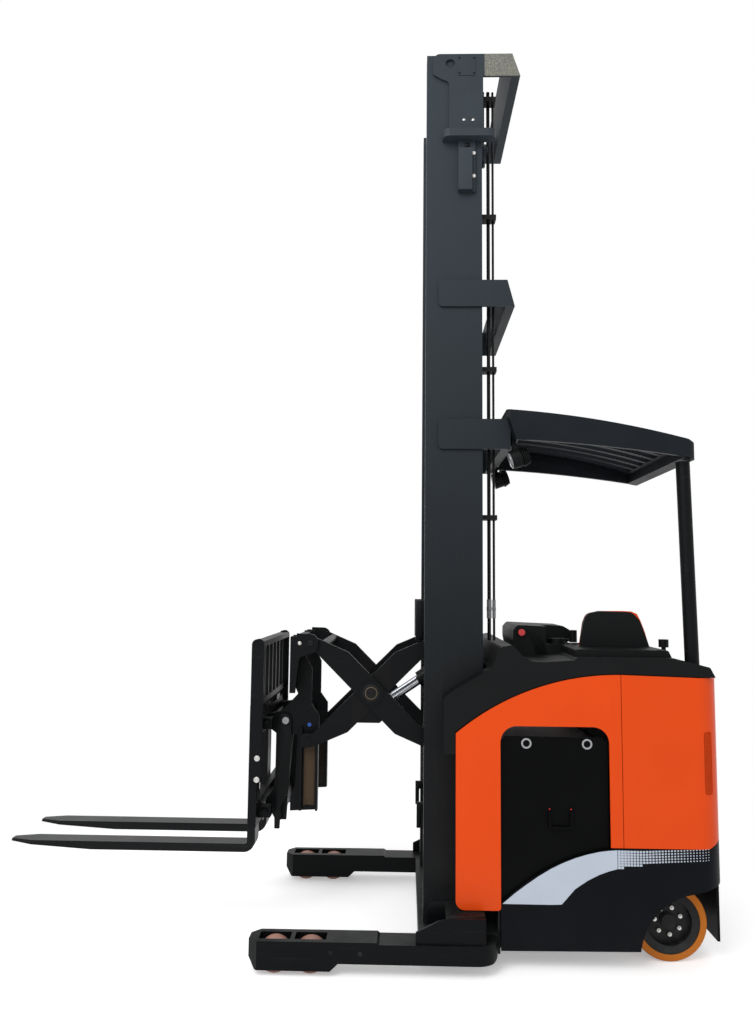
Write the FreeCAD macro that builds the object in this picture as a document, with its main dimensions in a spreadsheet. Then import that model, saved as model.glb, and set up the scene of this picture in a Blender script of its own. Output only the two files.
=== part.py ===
import FreeCAD
import Part
import math
import os

# Stand-on reach truck with a pantograph reach, in millimetres.
# Forks point to -X, the drive end to +X, up is +Z and the floor is Z = 0.
# Y = 0 is the truck's centre line. The near side, with the drive wheel, is -Y.

doc = FreeCAD.newDocument("reach_truck")
sheet = doc.addObject("Spreadsheet::Sheet", "dims")

# Columns: name, value in millimetres or degrees, what it is
SIZES = [
    ("body_half", 535, "half width over the body panels"),
    ("body_rear", 1718.5, "rear face of the body"),
    ("body_round", 120, "plan radius of the body's rear corners"),
    ("panel_front", 497, "front edge of the orange side panels"),
    ("panel_seam", 1254, "seam between front and rear side panels"),
    ("panel_top", 1308, "top of the side panels at the seam"),
    ("panel_drop", 273.9, "fall of the front panel's top edge to its front corner"),
    ("panel_thick", 8, "side panel thickness"),
    ("panel_foot", 255, "bottom of the orange column beside the mast"),
    ("seam_gap", 3, "gap between neighbouring body panels"),
    ("seat_gap", 0.3, "gap between a seated piece and what carries it"),
    ("door_front", 701, "front edge of the battery opening"),
    ("door_post", 56, "width of the side panel behind the battery opening"),
    ("door_drop", 237, "top of the battery opening below the panels' top"),
    ("door_round", 75, "corner radius of the battery opening"),
    ("gate_inset", 22, "how far the battery gate lies behind the panel face"),
    ("gate_thick", 12, "battery gate plate thickness"),
    ("skirt_low", 83, "bottom of the black skirt"),
    ("skirt_top", 534, "top of the black skirt at the rear"),
    ("skirt_thick", 12, "skirt wall thickness"),
    ("arch_front", 1318, "front foot of the wheel arch"),
    ("arch_top", 375, "top of the wheel arch at the rear"),
    ("arch_depth", 115, "depth of the open wheel arch from the side"),
    ("base_low", 60, "bottom of the chassis beams"),
    ("base_top", 150, "top of the front cross beam"),
    ("base_front", 330, "front of the cross beam under the mast"),
    ("base_rear", 690, "rear of the cross beam under the mast"),
    ("tray_floor", 115, "top of the battery tray"),
    ("bulk_thick", 10, "bulkhead plate thickness"),
    ("bay_side", 118, "near wall of the operator's bay, on the near side of centre"),
    ("bay_step", 39, "front wall of the operator's bay ahead of the panel seam"),
    ("floor_top", 262, "top of the operator's floor plate"),
    ("deck_low", 430, "underside of the drive unit's deck"),
    ("deck_thick", 16, "drive unit deck thickness"),
    ("leg_off", 570.6, "leg centre line from the truck's centre line"),
    ("leg_wide", 130, "leg width"),
    ("leg_tip", -426, "front tip of the legs"),
    ("leg_rear", 685, "rear end of the legs"),
    ("leg_top", 148, "top of the leg's wheel block"),
    ("leg_low", 24, "underside of the leg's wheel block"),
    ("leg_arm_low", 57, "underside of the leg's arm"),
    ("leg_skin", 10, "plate over the load wheels"),
    ("load_r", 70, "load wheel radius"),
    ("load_wide", 62, "load wheel width"),
    ("load_front", -310, "front load wheel axle"),
    ("load_gap", 160, "distance between the load wheel axles"),
    ("window_long", 141, "window in the top plate over each load wheel"),
    ("window_wide", 73, "width of the windows and wheel pockets"),
    ("pocket_long", 150, "length of the pocket round each load wheel"),
    ("mast_front", 353, "front edge of the mast's outer rails"),
    ("mast_rear", 634.5, "rear edge of the mast's outer rails"),
    ("mast_half", 410, "outer face of the outer rails from the centre line"),
    ("mast_top", 4437, "top of the outer rails"),
    ("web_thick", 12, "web thickness of the mast rails"),
    ("flange_thick", 16, "flange thickness of the outer rails"),
    ("flange_deep", 74, "flange depth of the outer rails with the web"),
    ("stage_gap", 8, "gap between one mast stage's webs and the next"),
    ("mid_front", 379, "front edge of the middle stage's rails"),
    ("mid_rear", 568, "rear edge of the middle stage's rails"),
    ("inner_front", 397, "front edge of the inner stage's rails"),
    ("inner_rear", 550, "rear edge of the inner stage's rails"),
    ("stage_low", 165, "bottom of the moving stages when lowered"),
    ("stage_top", 4395, "top of the moving stages when lowered"),
    ("rail_thick", 12, "flange thickness of the moving stages"),
    ("rail_deep", 54, "flange depth of the moving stages with the web"),
    ("hoop_rear", 830, "rear of the mast's cross hoops at their lower edge"),
    ("hoop_thick", 14, "plate thickness of the mast's cross hoops"),
    ("pin_x", 404.5, "rear pins and rollers of the scissor arms"),
    ("pin_z", 1426, "upper pins of the scissor arms"),
    ("reach_span", 616.5, "front pins to rear pins, arms out as shown"),
    ("arm_half", 392, "centre pivot to each end of a scissor arm"),
    ("arm_thick", 20, "scissor arm plate thickness"),
    ("arm_gap", 5, "gap between the outer and inner arm plates"),
    ("arm_out", 308, "outer face of the outer arm plates"),
    ("arm_end_r", 46, "radius of a scissor arm's ends"),
    ("pivot_r", 26, "centre pivot pin radius"),
    ("end_pin_r", 18, "end pin radius"),
    ("run_gap", 0.06, "radial clearance of a pin in its bore"),
    ("roller_r", 34, "scissor roller radius"),
    ("roller_gap", 1, "clearance between a roller and its channel"),
    ("chan_wall", 10, "channel wall thickness"),
    ("tilt_ahead", 118, "tilt pivot of the fork carriage ahead of the front pins"),
    ("tilt_z", 1037, "height of the tilt pivot"),
    ("shank_ahead", 188, "front face of the fork shanks ahead of the tilt pivot"),
    ("fork_long", 1200.5, "fork blades ahead of the shanks' front face"),
    ("fork_top", 427, "top of the fork blades"),
    ("fork_thick", 40, "fork section thickness at the heel"),
    ("fork_wide", 100, "fork blade width"),
    ("fork_off", 166, "fork centre line from the truck's centre line"),
    ("bar_half", 410, "half length of the fork carriage bars"),
    ("bar_top", 1085, "top of the upper fork carriage bar"),
    ("bar_tall", 110, "height of the fork carriage bars"),
    ("bar_low", 560, "bottom of the lower fork carriage bar"),
    ("bar_thick", 36, "thickness of the fork carriage bars"),
    ("rest_half", 420, "half width of the load backrest"),
    ("rest_top", 1440, "top of the load backrest"),
    ("rest_low", 774, "bottom of the load backrest's side plates"),
    ("rest_deep", 60, "depth of the load backrest"),
    ("drive_x", 1488.5, "drive wheel axle"),
    ("drive_y", -357, "steering axis of the drive unit"),
    ("drive_r", 173, "drive wheel radius"),
    ("drive_face", -420, "near face of the drive wheel"),
    ("drive_wide", 85, "drive wheel width"),
    ("caster_x", 1500, "swivel axis of the caster"),
    ("caster_y", 330, "swivel axis of the caster"),
    ("caster_r", 89, "caster wheel radius"),
    ("caster_trail", 45, "caster axle behind its swivel axis"),
    ("guard_top", 2562, "top of the overhead guard at its front edge"),
    ("guard_front", 742, "front edge of the overhead guard"),
    ("guard_rear", 1718, "rear edge of the overhead guard"),
    ("guard_half", 500, "half width of the overhead guard"),
    ("post_y", -420, "guard post from the centre line"),
    ("post_r", 33, "guard post radius"),
    ("free_long", 1900, "free lift cylinder barrel length"),
    ("free_drop", 180, "travel of the free lift ram below its place as shown"),
]

VALUE = {}
for row, (name, value, note) in enumerate(SIZES, start=1):
    sheet.set("A%d" % row, name)
    sheet.set("B%d" % row, str(value))
    sheet.set("C%d" % row, note)
    sheet.setAlias("B%d" % row, name)
    VALUE[name] = float(value)
doc.recompute()


class Size:
    """A length with its value and the sheet expression that it comes from."""

    def __init__(self, value, text):
        self.value = float(value)
        self.text = text

    def __float__(self):
        return self.value

    def __add__(self, other):
        other = size(other)
        return Size(self.value + other.value, "(%s + %s)" % (self.text, other.text))

    def __sub__(self, other):
        other = size(other)
        return Size(self.value - other.value, "(%s - %s)" % (self.text, other.text))

    def __mul__(self, other):
        other = size(other)
        return Size(self.value * other.value, "(%s * %s)" % (self.text, other.text))

    def __truediv__(self, other):
        other = size(other)
        return Size(self.value / other.value, "(%s / %s)" % (self.text, other.text))

    def __neg__(self):
        return Size(-self.value, "(0 - %s)" % self.text)

    def __radd__(self, other):
        return size(other) + self

    def __rsub__(self, other):
        return size(other) - self

    def __rmul__(self, other):
        return size(other) * self


def size(value):
    """A Size from a Size or a plain number."""
    if isinstance(value, Size):
        return value
    return Size(value, "(%.6f)" % value if value < 0 else "%.6f" % value)


def root(value):
    """Square root of a Size."""
    return Size(math.sqrt(value.value), "sqrt(%s)" % value.text)


class Named:
    """Gives the sheet's sizes by name."""

    def __getattr__(self, name):
        return Size(VALUE[name], "dims.%s" % name)


S = Named()

# Places that follow from the sizes
DOOR_REAR = S.panel_seam - S.door_post
DOOR_TOP = S.panel_top - S.door_drop
BAY_FRONT = S.panel_seam - S.bay_step
PANEL_RUN = S.panel_seam - S.panel_front
PANEL_BOW = (PANEL_RUN * PANEL_RUN + S.panel_drop * S.panel_drop) / (S.panel_drop * 2)
PANEL_CORNER = S.panel_top - S.panel_drop
PANEL_MIDDLE = S.panel_top - PANEL_BOW + root(PANEL_BOW * PANEL_BOW - PANEL_RUN * PANEL_RUN / 4)
DESK_X = S.panel_front + PANEL_RUN * 0.613
GATE_X = (S.door_front + DOOR_REAR) / 2 + 25.5
POST_FOOT_X = S.drive_x + 136
POST_LEAN = 1.2
FRONT_X = S.pin_x - S.reach_span
TILT_X = FRONT_X - S.tilt_ahead
FORK_FACE = TILT_X - S.shank_ahead
FORK_TIP = FORK_FACE - S.fork_long
LINE_X = S.mast_rear + 41.5


def bind(thing, prop, value):
    """Set a property from a Size and bind it to the sheet."""
    value = size(value)
    if "." not in prop:
        setattr(thing, prop, value.value)
    thing.setExpression(prop, value.text)


def place(thing, x, y, z):
    """Bind an object's position to the sheet."""
    for axis, value in zip("xyz", (x, y, z)):
        thing.setExpression("Placement.Base.%s" % axis, size(value).text)
    base = FreeCAD.Vector(float(size(x)), float(size(y)), float(size(z)))
    thing.Placement.Base = base


def block(name, x0, x1, y0, y1, z0, z1):
    """A box between two corners."""
    box = doc.addObject("Part::Box", name)
    bind(box, "Length", size(x1) - x0)
    bind(box, "Width", size(y1) - y0)
    bind(box, "Height", size(z1) - z0)
    place(box, x0, y0, z0)
    return box


TURN = {
    "X": FreeCAD.Rotation(FreeCAD.Vector(0, 1, 0), 90),
    "Y": FreeCAD.Rotation(FreeCAD.Vector(1, 0, 0), -90),
    "Z": FreeCAD.Rotation(),
}


def rod(name, axis, radius, x, y, z, length):
    """A cylinder from a point along an axis."""
    cylinder = doc.addObject("Part::Cylinder", name)
    bind(cylinder, "Radius", radius)
    bind(cylinder, "Height", length)
    cylinder.Placement.Rotation = TURN[axis]
    place(cylinder, x, y, z)
    return cylinder


def join(name, pieces):
    """One object from several that touch or overlap."""
    fuse = doc.addObject("Part::MultiFuse", name)
    fuse.Shapes = pieces
    fuse.Refine = True
    return fuse


def carve(name, base, tools):
    """An object less one or more tools."""
    tool = tools[0]
    if len(tools) > 1:
        tool = join(name + "_tools", tools)
    cut = doc.addObject("Part::Cut", name)
    cut.Base = base
    cut.Tool = tool
    cut.Refine = True
    return cut


def flipped(name, source):
    """The same object on the other side of the centre line."""
    mirror = doc.addObject("Part::Mirroring", name)
    mirror.Source = source
    mirror.Base = FreeCAD.Vector(0, 0, 0)
    mirror.Normal = FreeCAD.Vector(0, 1, 0)
    return mirror


# The origin plane that each pair of axes is drawn on
PLANES = {
    "XZ": "XZ_Plane",
    "XY": "XY_Plane",
    "YZ": "YZ_Plane",
}


def outline(body, plane, name, corners):
    """A closed sketch from corners (x, y, radius) or arcs ("arc", mx, my, x, y).

    A corner with a radius is rounded. An arc goes from the last corner through a
    middle point to the next corner.
    """
    import Sketcher
    sketch = body.newObject("Sketcher::SketchObject", name)
    origin = [f for f in body.Origin.OriginFeatures if f.Role == PLANES[plane]][0]
    sketch.AttachmentSupport = [(origin, "")]
    sketch.MapMode = "FlatFace"
    points = []
    for corner in corners:
        if corner[0] == "arc":
            points.append((size(corner[3]), size(corner[4]), None, (size(corner[1]), size(corner[2]))))
        else:
            radius = size(corner[2]) if len(corner) > 2 else None
            points.append((size(corner[0]), size(corner[1]), radius, None))
    count = len(points)
    flat = [FreeCAD.Vector(float(p[0]), float(p[1]), 0) for p in points]
    start = list(flat)
    finish = list(flat)
    rounds = {}
    for i in range(count):
        if points[i][2] is None:
            continue
        before = (flat[i - 1] - flat[i]).normalize()
        after = (flat[(i + 1) % count] - flat[i]).normalize()
        half = before.getAngle(after) / 2
        reach = float(points[i][2]) / math.tan(half)
        centre = flat[i] + (before + after).normalize() * (float(points[i][2]) / math.sin(half))
        start[i] = flat[i] + after * reach
        finish[i] = flat[i] + before * reach
        rounds[i] = centre
    sides = []
    turned = {}
    for i in range(count):
        j = (i + 1) % count
        mid = points[j][3]
        if mid is None:
            sides.append(sketch.addGeometry(Part.LineSegment(start[i], finish[j])))
        else:
            through = FreeCAD.Vector(float(mid[0]), float(mid[1]), 0)
            centre = Part.Arc(start[i], through, finish[j]).toShape().Curve.Center
            radius = (start[i] - centre).Length
            a0 = math.atan2((start[i] - centre).y, (start[i] - centre).x)
            a1 = math.atan2((finish[j] - centre).y, (finish[j] - centre).x)
            am = math.atan2((through - centre).y, (through - centre).x)
            backwards = (am - a0) % (2 * math.pi) > (a1 - a0) % (2 * math.pi)
            if backwards:
                a0, a1 = a1, a0
            circle = Part.Circle(centre, FreeCAD.Vector(0, 0, 1), radius)
            sides.append(sketch.addGeometry(Part.ArcOfCircle(circle, a0, a1)))
            turned[i] = backwards
    limits = []
    marks = []

    def first(side):
        return 2 if turned.get(side) else 1

    def last(side):
        return 1 if turned.get(side) else 2

    for i in range(count):
        before = i - 1 if i else count - 1
        if i in rounds:
            low = finish[i] - rounds[i]
            high = start[i] - rounds[i]
            a0 = math.atan2(low.y, low.x)
            a1 = math.atan2(high.y, high.x)
            swing = (a1 - a0) % (2 * math.pi)
            forward = swing < math.pi
            if not forward:
                a0, a1 = a1, a0
            circle = Part.Circle(rounds[i], FreeCAD.Vector(0, 0, 1), float(points[i][2]))
            arc = sketch.addGeometry(Part.ArcOfCircle(circle, a0, a1))
            near, far = (1, 2) if forward else (2, 1)
            limits.append(Sketcher.Constraint("Tangent", sides[before], last(before), arc, near))
            limits.append(Sketcher.Constraint("Tangent", sides[i], first(i), arc, far))
            dot = sketch.addGeometry(Part.Point(flat[i]), True)
            limits.append(Sketcher.Constraint("PointOnObject", dot, 1, sides[before]))
            limits.append(Sketcher.Constraint("PointOnObject", dot, 1, sides[i]))
            marks.append(("Radius", arc, 0, points[i][2]))
            marks.append(("DistanceX", dot, 1, points[i][0]))
            marks.append(("DistanceY", dot, 1, points[i][1]))
        else:
            limits.append(Sketcher.Constraint("Coincident", sides[before], last(before), sides[i], first(i)))
            marks.append(("DistanceX", sides[i], first(i), points[i][0]))
            marks.append(("DistanceY", sides[i], first(i), points[i][1]))
        if points[i][3] is not None:
            mid = points[i][3]
            dot = sketch.addGeometry(Part.Point(FreeCAD.Vector(float(mid[0]), float(mid[1]), 0)), True)
            limits.append(Sketcher.Constraint("PointOnObject", dot, 1, sides[before]))
            marks.append(("DistanceX", dot, 1, mid[0]))
            marks.append(("DistanceY", dot, 1, mid[1]))
    sketch.addConstraint(limits)
    for kind, geo, pos, value in marks:
        if kind == "Radius":
            index = sketch.addConstraint(Sketcher.Constraint("Radius", geo, float(value)))
        else:
            index = sketch.addConstraint(Sketcher.Constraint(kind, -1, 1, geo, pos, float(value)))
        sketch.setExpression("Constraints[%d]" % index, value.text)
    return sketch


def slab(name, plane, corners, low, high):
    """A body padded from an outline between two distances along the plane's normal axis."""
    body = doc.addObject("PartDesign::Body", name)
    sketch = outline(body, plane, name + "_outline", corners)
    pad = body.newObject("PartDesign::Pad", name + "_pad")
    pad.Profile = sketch
    low = size(low)
    high = size(high)
    bind(pad, "Length", high - low)
    # An XZ sketch faces -Y, so the pad is turned round to grow towards +Y
    if plane == "XZ":
        pad.Reversed = True
        place(body, 0, low, 0)
    elif plane == "XY":
        place(body, 0, 0, low)
    else:
        place(body, low, 0, 0)
    body.Tip = pad
    return body


PIECES = []


def piece(name, thing):
    """Name a finished sub-part."""
    thing.Label = name
    PIECES.append(thing)
    return thing


def pair(name, near):
    """A sub-part on the near side and its mirror image on the far side."""
    far = flipped(name + "_far_side", near)
    piece(name + "_near", near)
    piece(name + "_far", far)


# Chassis

def chassis():
    """Cross beam under the mast, battery tray, bulkheads, bay walls and drive deck."""
    inside = S.body_half - 23
    behind = S.body_half - S.panel_thick - S.seat_gap
    skirt_in = S.body_half - S.skirt_thick - S.seat_gap
    leg_in = S.leg_off - S.leg_wide / 2
    deck_top = S.deck_low + S.deck_thick
    beams = [
        block("cross_beam", S.base_front, S.base_rear, -leg_in, leg_in, S.base_low, S.base_top),
        block("battery_tray", S.base_rear, BAY_FRONT, -inside, inside, S.skirt_low + 5, S.tray_floor),
        block("front_bulkhead", S.base_rear, S.base_rear + S.bulk_thick, -inside, inside,
              S.base_low, 1000),
        block("front_bulkhead_edge", S.base_rear, S.base_rear + S.bulk_thick, -behind, behind, 300, 990),
        block("rear_bulkhead", BAY_FRONT - S.bulk_thick, BAY_FRONT, -inside, inside,
              S.skirt_low + 5, 1150),
        block("rear_bulkhead_edge", BAY_FRONT - S.bulk_thick, BAY_FRONT, -behind, behind,
              S.skirt_top + 12, 1140),
        block("cover_support", BAY_FRONT - S.bulk_thick, BAY_FRONT, -inside, -S.bay_side - 14, 1140,
              S.panel_top + 77 - S.panel_thick - S.seat_gap),
        block("skirt_bracket", 960, 1090, -skirt_in, skirt_in, S.skirt_low + 8, S.tray_floor),
        block("bay_wall_flange", S.body_rear - 64, S.body_rear - S.panel_thick - S.seat_gap,
              -S.bay_side - S.bulk_thick - 8, -S.bay_side, S.skirt_top + 50, 1240),
        block("bay_wall", BAY_FRONT - 5, S.body_rear - 60, -S.bay_side - S.bulk_thick, -S.bay_side,
              S.skirt_low + 20, 1240),
        slab("floor_plate", "XY", [
            (BAY_FRONT - 5, -S.bay_side - 5), (S.body_rear - 30, -S.bay_side - 5),
            (S.body_rear - 30, inside, S.body_round - 25), (BAY_FRONT - 5, inside),
        ], S.floor_top - 12, S.floor_top),
        block("floor_rear_sill", S.body_rear - 45, S.body_rear - 30, -S.bay_side - 5, inside - 40,
              S.skirt_low + 40, S.floor_top),
        block("drive_deck", BAY_FRONT - 5, S.body_rear - S.body_round, -inside, -S.bay_side - 5,
              S.deck_low, deck_top),
        block("drive_deck_tail", S.body_rear - S.body_round - 5, POST_FOOT_X + 36, S.post_y - 50,
              -S.bay_side - 5, S.deck_low, deck_top),
        block("post_pillar", POST_FOOT_X - 4, POST_FOOT_X + 32, S.post_y - 28, S.post_y + 28,
              deck_top - 5, S.panel_top - 38 - S.seat_gap),
        block("far_wall_flange", BAY_FRONT - 5, BAY_FRONT + 90, S.body_half - 64, S.body_half - 55 - S.seat_gap,
              S.floor_top - 5, 1150),
    ]
    hole = rod("drive_deck_hole", "Z", 100, S.drive_x, S.drive_y, S.deck_low - 5, S.deck_thick + 10)
    frame = join("chassis_beams", beams)
    return piece("chassis_frame", carve("chassis_cut", frame, [hole]))


def leg():
    """A wheel leg with its two pockets, nose, arm and welded foot."""
    near = -S.leg_off - S.leg_wide / 2
    far = -S.leg_off + S.leg_wide / 2
    nose = slab("leg_profile", "XZ", [
        (S.leg_tip, S.leg_top - 2, 8), (S.leg_tip, S.leg_low + 42), (S.leg_tip + 32, S.leg_low),
        (-60, S.leg_low), (-24, S.leg_arm_low), (S.leg_rear, S.leg_arm_low, 30),
        (S.leg_rear, S.leg_top - 8, 20), (156, S.leg_top - 8), (146, S.leg_top),
    ], near, far)
    plan = slab("leg_plan", "XY", [
        (S.leg_tip, near + 42), (S.leg_tip + 42, near), (S.leg_rear - 100, near),
        ("arc", S.leg_rear - 29.3, near + 29.3, S.leg_rear, near + 100),
        (S.leg_rear, far), (S.leg_tip + 42, far), (S.leg_tip, far - 42),
    ], 0, 200)
    form = doc.addObject("Part::Common", "leg_form")
    form.Base = nose
    form.Tool = plan
    cuts = []
    for axle, name in ((S.load_front, "front"), (S.load_front + S.load_gap, "rear")):
        cuts.append(block("pocket_" + name, axle - S.pocket_long / 2, axle + S.pocket_long / 2,
                          -S.leg_off - S.window_wide / 2, -S.leg_off + S.window_wide / 2,
                          S.leg_low - 10, S.leg_top - S.leg_skin))
        cuts.append(block("window_" + name, axle - S.window_long / 2, axle + S.window_long / 2,
                          -S.leg_off - S.window_wide / 2, -S.leg_off + S.window_wide / 2,
                          S.leg_top - S.leg_skin - 5, S.leg_top + 10))
    shell = carve("leg_shell", form, cuts)
    foot = slab("leg_foot", "XZ", [
        (316, S.base_top - 12), (316, 190), (420, 241), (474, 250), (625, 250), (625, S.base_top - 12),
    ], near + 12, near + 24)
    shelf = block("leg_shelf", 450, 625, near + 12, -S.mast_half - 6, 238, 250)
    axles = [rod("load_axle_" + n, "Y", 12, x, near + 20, S.load_r, S.leg_wide - 40)
             for n, x in (("front", S.load_front), ("rear", S.load_front + S.load_gap))]
    return pair("leg", join("leg_near_body", [shell, foot, shelf] + axles))


def load_wheels():
    """Four small wheels that carry the legs."""
    for label, y in (("near", -S.leg_off), ("far", S.leg_off)):
        for name, x in (("front", S.load_front), ("rear", S.load_front + S.load_gap)):
            tag = "load_wheel_%s_%s" % (name, label)
            tread = rod(tag + "_tread", "Y", S.load_r, x, y - S.load_wide / 2, S.load_r, S.load_wide)
            bore = rod(tag + "_bore", "Y", 12 + S.run_gap, x, y - S.load_wide / 2 - 5, S.load_r,
                       S.load_wide + 10)
            piece(tag, carve(tag + "_cut", tread, [bore]))


# Body panels

def front_panels():
    """Orange panels beside the battery, with the arched top edge and the opening."""
    sheet_body = slab("front_panel_sheet", "XZ", [
        (S.panel_front, S.panel_foot, 40), (S.panel_front, PANEL_CORNER, 10),
        ("arc", S.panel_front + PANEL_RUN / 2, PANEL_MIDDLE, S.panel_seam, S.panel_top),
        (S.panel_seam, S.skirt_top + S.seam_gap), (DOOR_REAR, S.skirt_top + S.seam_gap),
        (DOOR_REAR, DOOR_TOP, S.door_round), (S.door_front, DOOR_TOP, S.door_round),
        (S.door_front, S.panel_foot, 14),
    ], -S.body_half, -S.body_half + S.panel_thick)
    front_lip = block("front_panel_lip", S.panel_front + 14, S.panel_front + 22,
                      -S.body_half + S.panel_thick - 2, -S.body_half + 80, S.panel_foot + 20, PANEL_CORNER - 14)
    return pair("front_panel", join("front_panel_body", [sheet_body, front_lip]))


def rear_panel_outline(tag, y0, y1):
    """Side outline of the rear panels."""
    return slab(tag, "XZ", [
        (S.panel_seam + S.seam_gap, S.skirt_top + S.seam_gap), (S.panel_seam + S.seam_gap, S.panel_top),
        (S.body_rear, S.panel_top - 13), (S.body_rear + 5, S.skirt_top + S.seam_gap + 34),
        (S.body_rear - 75, S.skirt_top + S.seam_gap),
    ], y0, y1)


def wrap_plan(tag, outset, rear_end, z0, z1):
    """Plan of a near side wall that turns the rear corner and ends at a Y value."""
    side = -S.body_half + outset
    back = S.body_rear - outset
    curve = S.body_round - outset
    return slab(tag, "XY", [
        (S.base_rear, side), (back, side, curve), (back, rear_end), (S.base_rear, rear_end),
    ], z0, z1)


def rear_panel_near():
    """Orange rear panel: flat side and rounded rear corner."""
    edge = -S.bay_side + 40
    outer = wrap_plan("rear_near_outer", 0, edge, 300, 1400)
    inner = wrap_plan("rear_near_inner", S.panel_thick, edge + 5, 290, 1410)
    ring = carve("rear_near_ring", outer, [inner])
    zone = rear_panel_outline("rear_near_zone", -S.body_half - 5, edge + 10)
    form = doc.addObject("Part::Common", "rear_near_form")
    form.Base = ring
    form.Tool = zone
    jamb = block("rear_near_jamb", S.body_rear - 70, S.body_rear - 4, edge - 10, edge, S.skirt_top + 10, 1290)
    skin = wrap_plan("vent_skin", 0, edge, 740, 1090)
    floor = wrap_plan("vent_floor", 3, edge + 5, 730, 1100)
    shape = slab("vent_shape", "XZ", [
        (S.body_rear - 91.5, 773, 16), (S.body_rear - 91.5, 1056, 16), (S.body_rear - 50.5, 1056, 16),
        (S.body_rear - 50.5, 773, 16),
    ], -S.body_half - 5, -S.body_half + S.body_round)
    recess = doc.addObject("Part::Common", "vent_recess")
    recess.Base = carve("vent_ring", skin, [floor])
    recess.Tool = shape
    vent = carve("rear_near_vented", form, [recess])
    return piece("rear_panel_near", join("rear_near_body", [vent, jamb]))


def rear_panel_far():
    """Orange far wall of the operator's bay, as a double skin."""
    side = S.body_half
    outer = slab("rear_far_plan", "XY", [
        (S.panel_seam + S.seam_gap, side), (S.body_rear, side, S.body_round),
        (S.body_rear, side - 145, 12), (S.body_rear - 30, side - 145, 8), (S.body_rear - 90, side - 55),
        (S.panel_seam + S.seam_gap, side - 55),
    ], 300, 1400)
    zone = rear_panel_outline("rear_far_zone", side - 200, side + 5)
    form = doc.addObject("Part::Common", "rear_far_form")
    form.Base = outer
    form.Tool = zone
    return piece("rear_panel_far", form)


def skirt():
    """Black lower cover round the sides and rear, arched over the drive wheel."""
    side = -S.body_half
    near_outer = wrap_plan("skirt_near_outer", 0, -S.bay_side, S.skirt_low, 700)
    near_inner = wrap_plan("skirt_near_inner", S.skirt_thick, -S.bay_side + 5, S.skirt_low - 10, 710)
    ring = carve("skirt_near_ring", near_outer, [near_inner])
    edge = [
        (S.door_front, 283), ("arc", 981, 470, S.panel_seam, S.skirt_top),
        (S.body_rear - 75, S.skirt_top), (S.body_rear + 5, S.skirt_top + 34),
        (S.body_rear + 5, S.skirt_low + 12), (S.door_front, S.skirt_low),
    ]
    zone = slab("skirt_near_zone", "XZ", edge, side - 5, -S.bay_side + 10)
    form = doc.addObject("Part::Common", "skirt_near_form")
    form.Base = ring
    form.Tool = zone
    arch = slab("skirt_arch", "XZ", [
        (S.arch_front, S.skirt_low - 20), (S.arch_front + 14, S.skirt_low + 50),
        ("arc", 1412, 266, 1566, 341), (S.body_rear + 30, S.arch_top + 8), (S.body_rear + 30, S.skirt_low - 20),
    ], side - 5, side + S.arch_depth)
    near = carve("skirt_near_cut", form, [arch])
    far_outer = slab("skirt_far_plan", "XY", [
        (S.door_front, -side), (S.body_rear, -side, S.body_round), (S.body_rear, -S.bay_side - 1),
        (S.body_rear - S.skirt_thick, -S.bay_side - 1), (S.body_rear - S.skirt_thick, -side - S.skirt_thick,
                                                       S.body_round - S.skirt_thick),
        (S.door_front, -side - S.skirt_thick),
    ], S.skirt_low, 700)
    far_zone = slab("skirt_far_zone", "XZ", edge, -S.bay_side - 10, -side + 5)
    far = doc.addObject("Part::Common", "skirt_far_form")
    far.Base = far_outer
    far.Tool = far_zone
    entry = block("skirt_entry", S.body_rear - 40, S.body_rear + 10, -S.bay_side, -side - 140,
                  S.floor_top, 720)
    open_far = carve("skirt_far_cut", far, [entry])
    return piece("lower_skirt", join("skirt_body", [near, open_far]))


def gates():
    """Battery gates with two lifting eyes and a pull handle."""
    face = -S.body_half + S.gate_inset
    edge = S.seam_gap
    foot = S.tray_floor + S.seat_gap
    eye_z = DOOR_TOP - 80
    plate = slab("gate_plate", "XZ", [
        (S.door_front + edge, foot), (S.door_front + edge, DOOR_TOP - 79),
        (S.door_front + 27, DOOR_TOP - 51), (DOOR_REAR - 27, DOOR_TOP - 51), (DOOR_REAR - edge, DOOR_TOP - 79),
        (DOOR_REAR - edge, foot),
    ], face, face + S.gate_thick)
    holes = [rod("gate_hole_%d" % i, "Y", 21, x, face - 5, eye_z, S.gate_thick + 10)
             for i, x in enumerate((S.door_front + 121, DOOR_REAR - 98))]
    grips = [rod("gate_ring_%d" % i, "Y", 26, x, face - 3, eye_z, S.gate_thick + 6)
             for i, x in enumerate((S.door_front + 121, DOOR_REAR - 98))]
    bail = slab("gate_bail", "XZ", [
        (GATE_X - 55, 690), (GATE_X - 55, 612, 10), (GATE_X + 55, 612, 10), (GATE_X + 55, 690),
        (GATE_X + 43, 690), (GATE_X + 43, 624), (GATE_X - 43, 624), (GATE_X - 43, 690),
    ], face - 14, face + 2)
    solid = join("gate_solid", [plate, bail] + grips)
    return pair("battery_gate", carve("gate_cut", solid, holes))


def battery():
    """Traction battery as one plain block."""
    return piece("battery", block("battery_block", S.base_rear + S.bulk_thick + 12,
                                  BAY_FRONT - S.bulk_thick - 12, -S.body_half + 45, S.body_half - 45,
                                  S.tray_floor + S.seat_gap, DOOR_TOP - 111))


def leaning_post(tag, radius):
    """The guard post's tube, or a hole for it."""
    tube = doc.addObject("Part::Cylinder", tag)
    bind(tube, "Radius", radius)
    bind(tube, "Height", S.guard_top - S.panel_top - 144)
    tube.Placement.Rotation = FreeCAD.Rotation(FreeCAD.Vector(0, 1, 0), -POST_LEAN)
    place(tube, POST_FOOT_X, S.post_y, S.panel_top - 33)
    return tube


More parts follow.
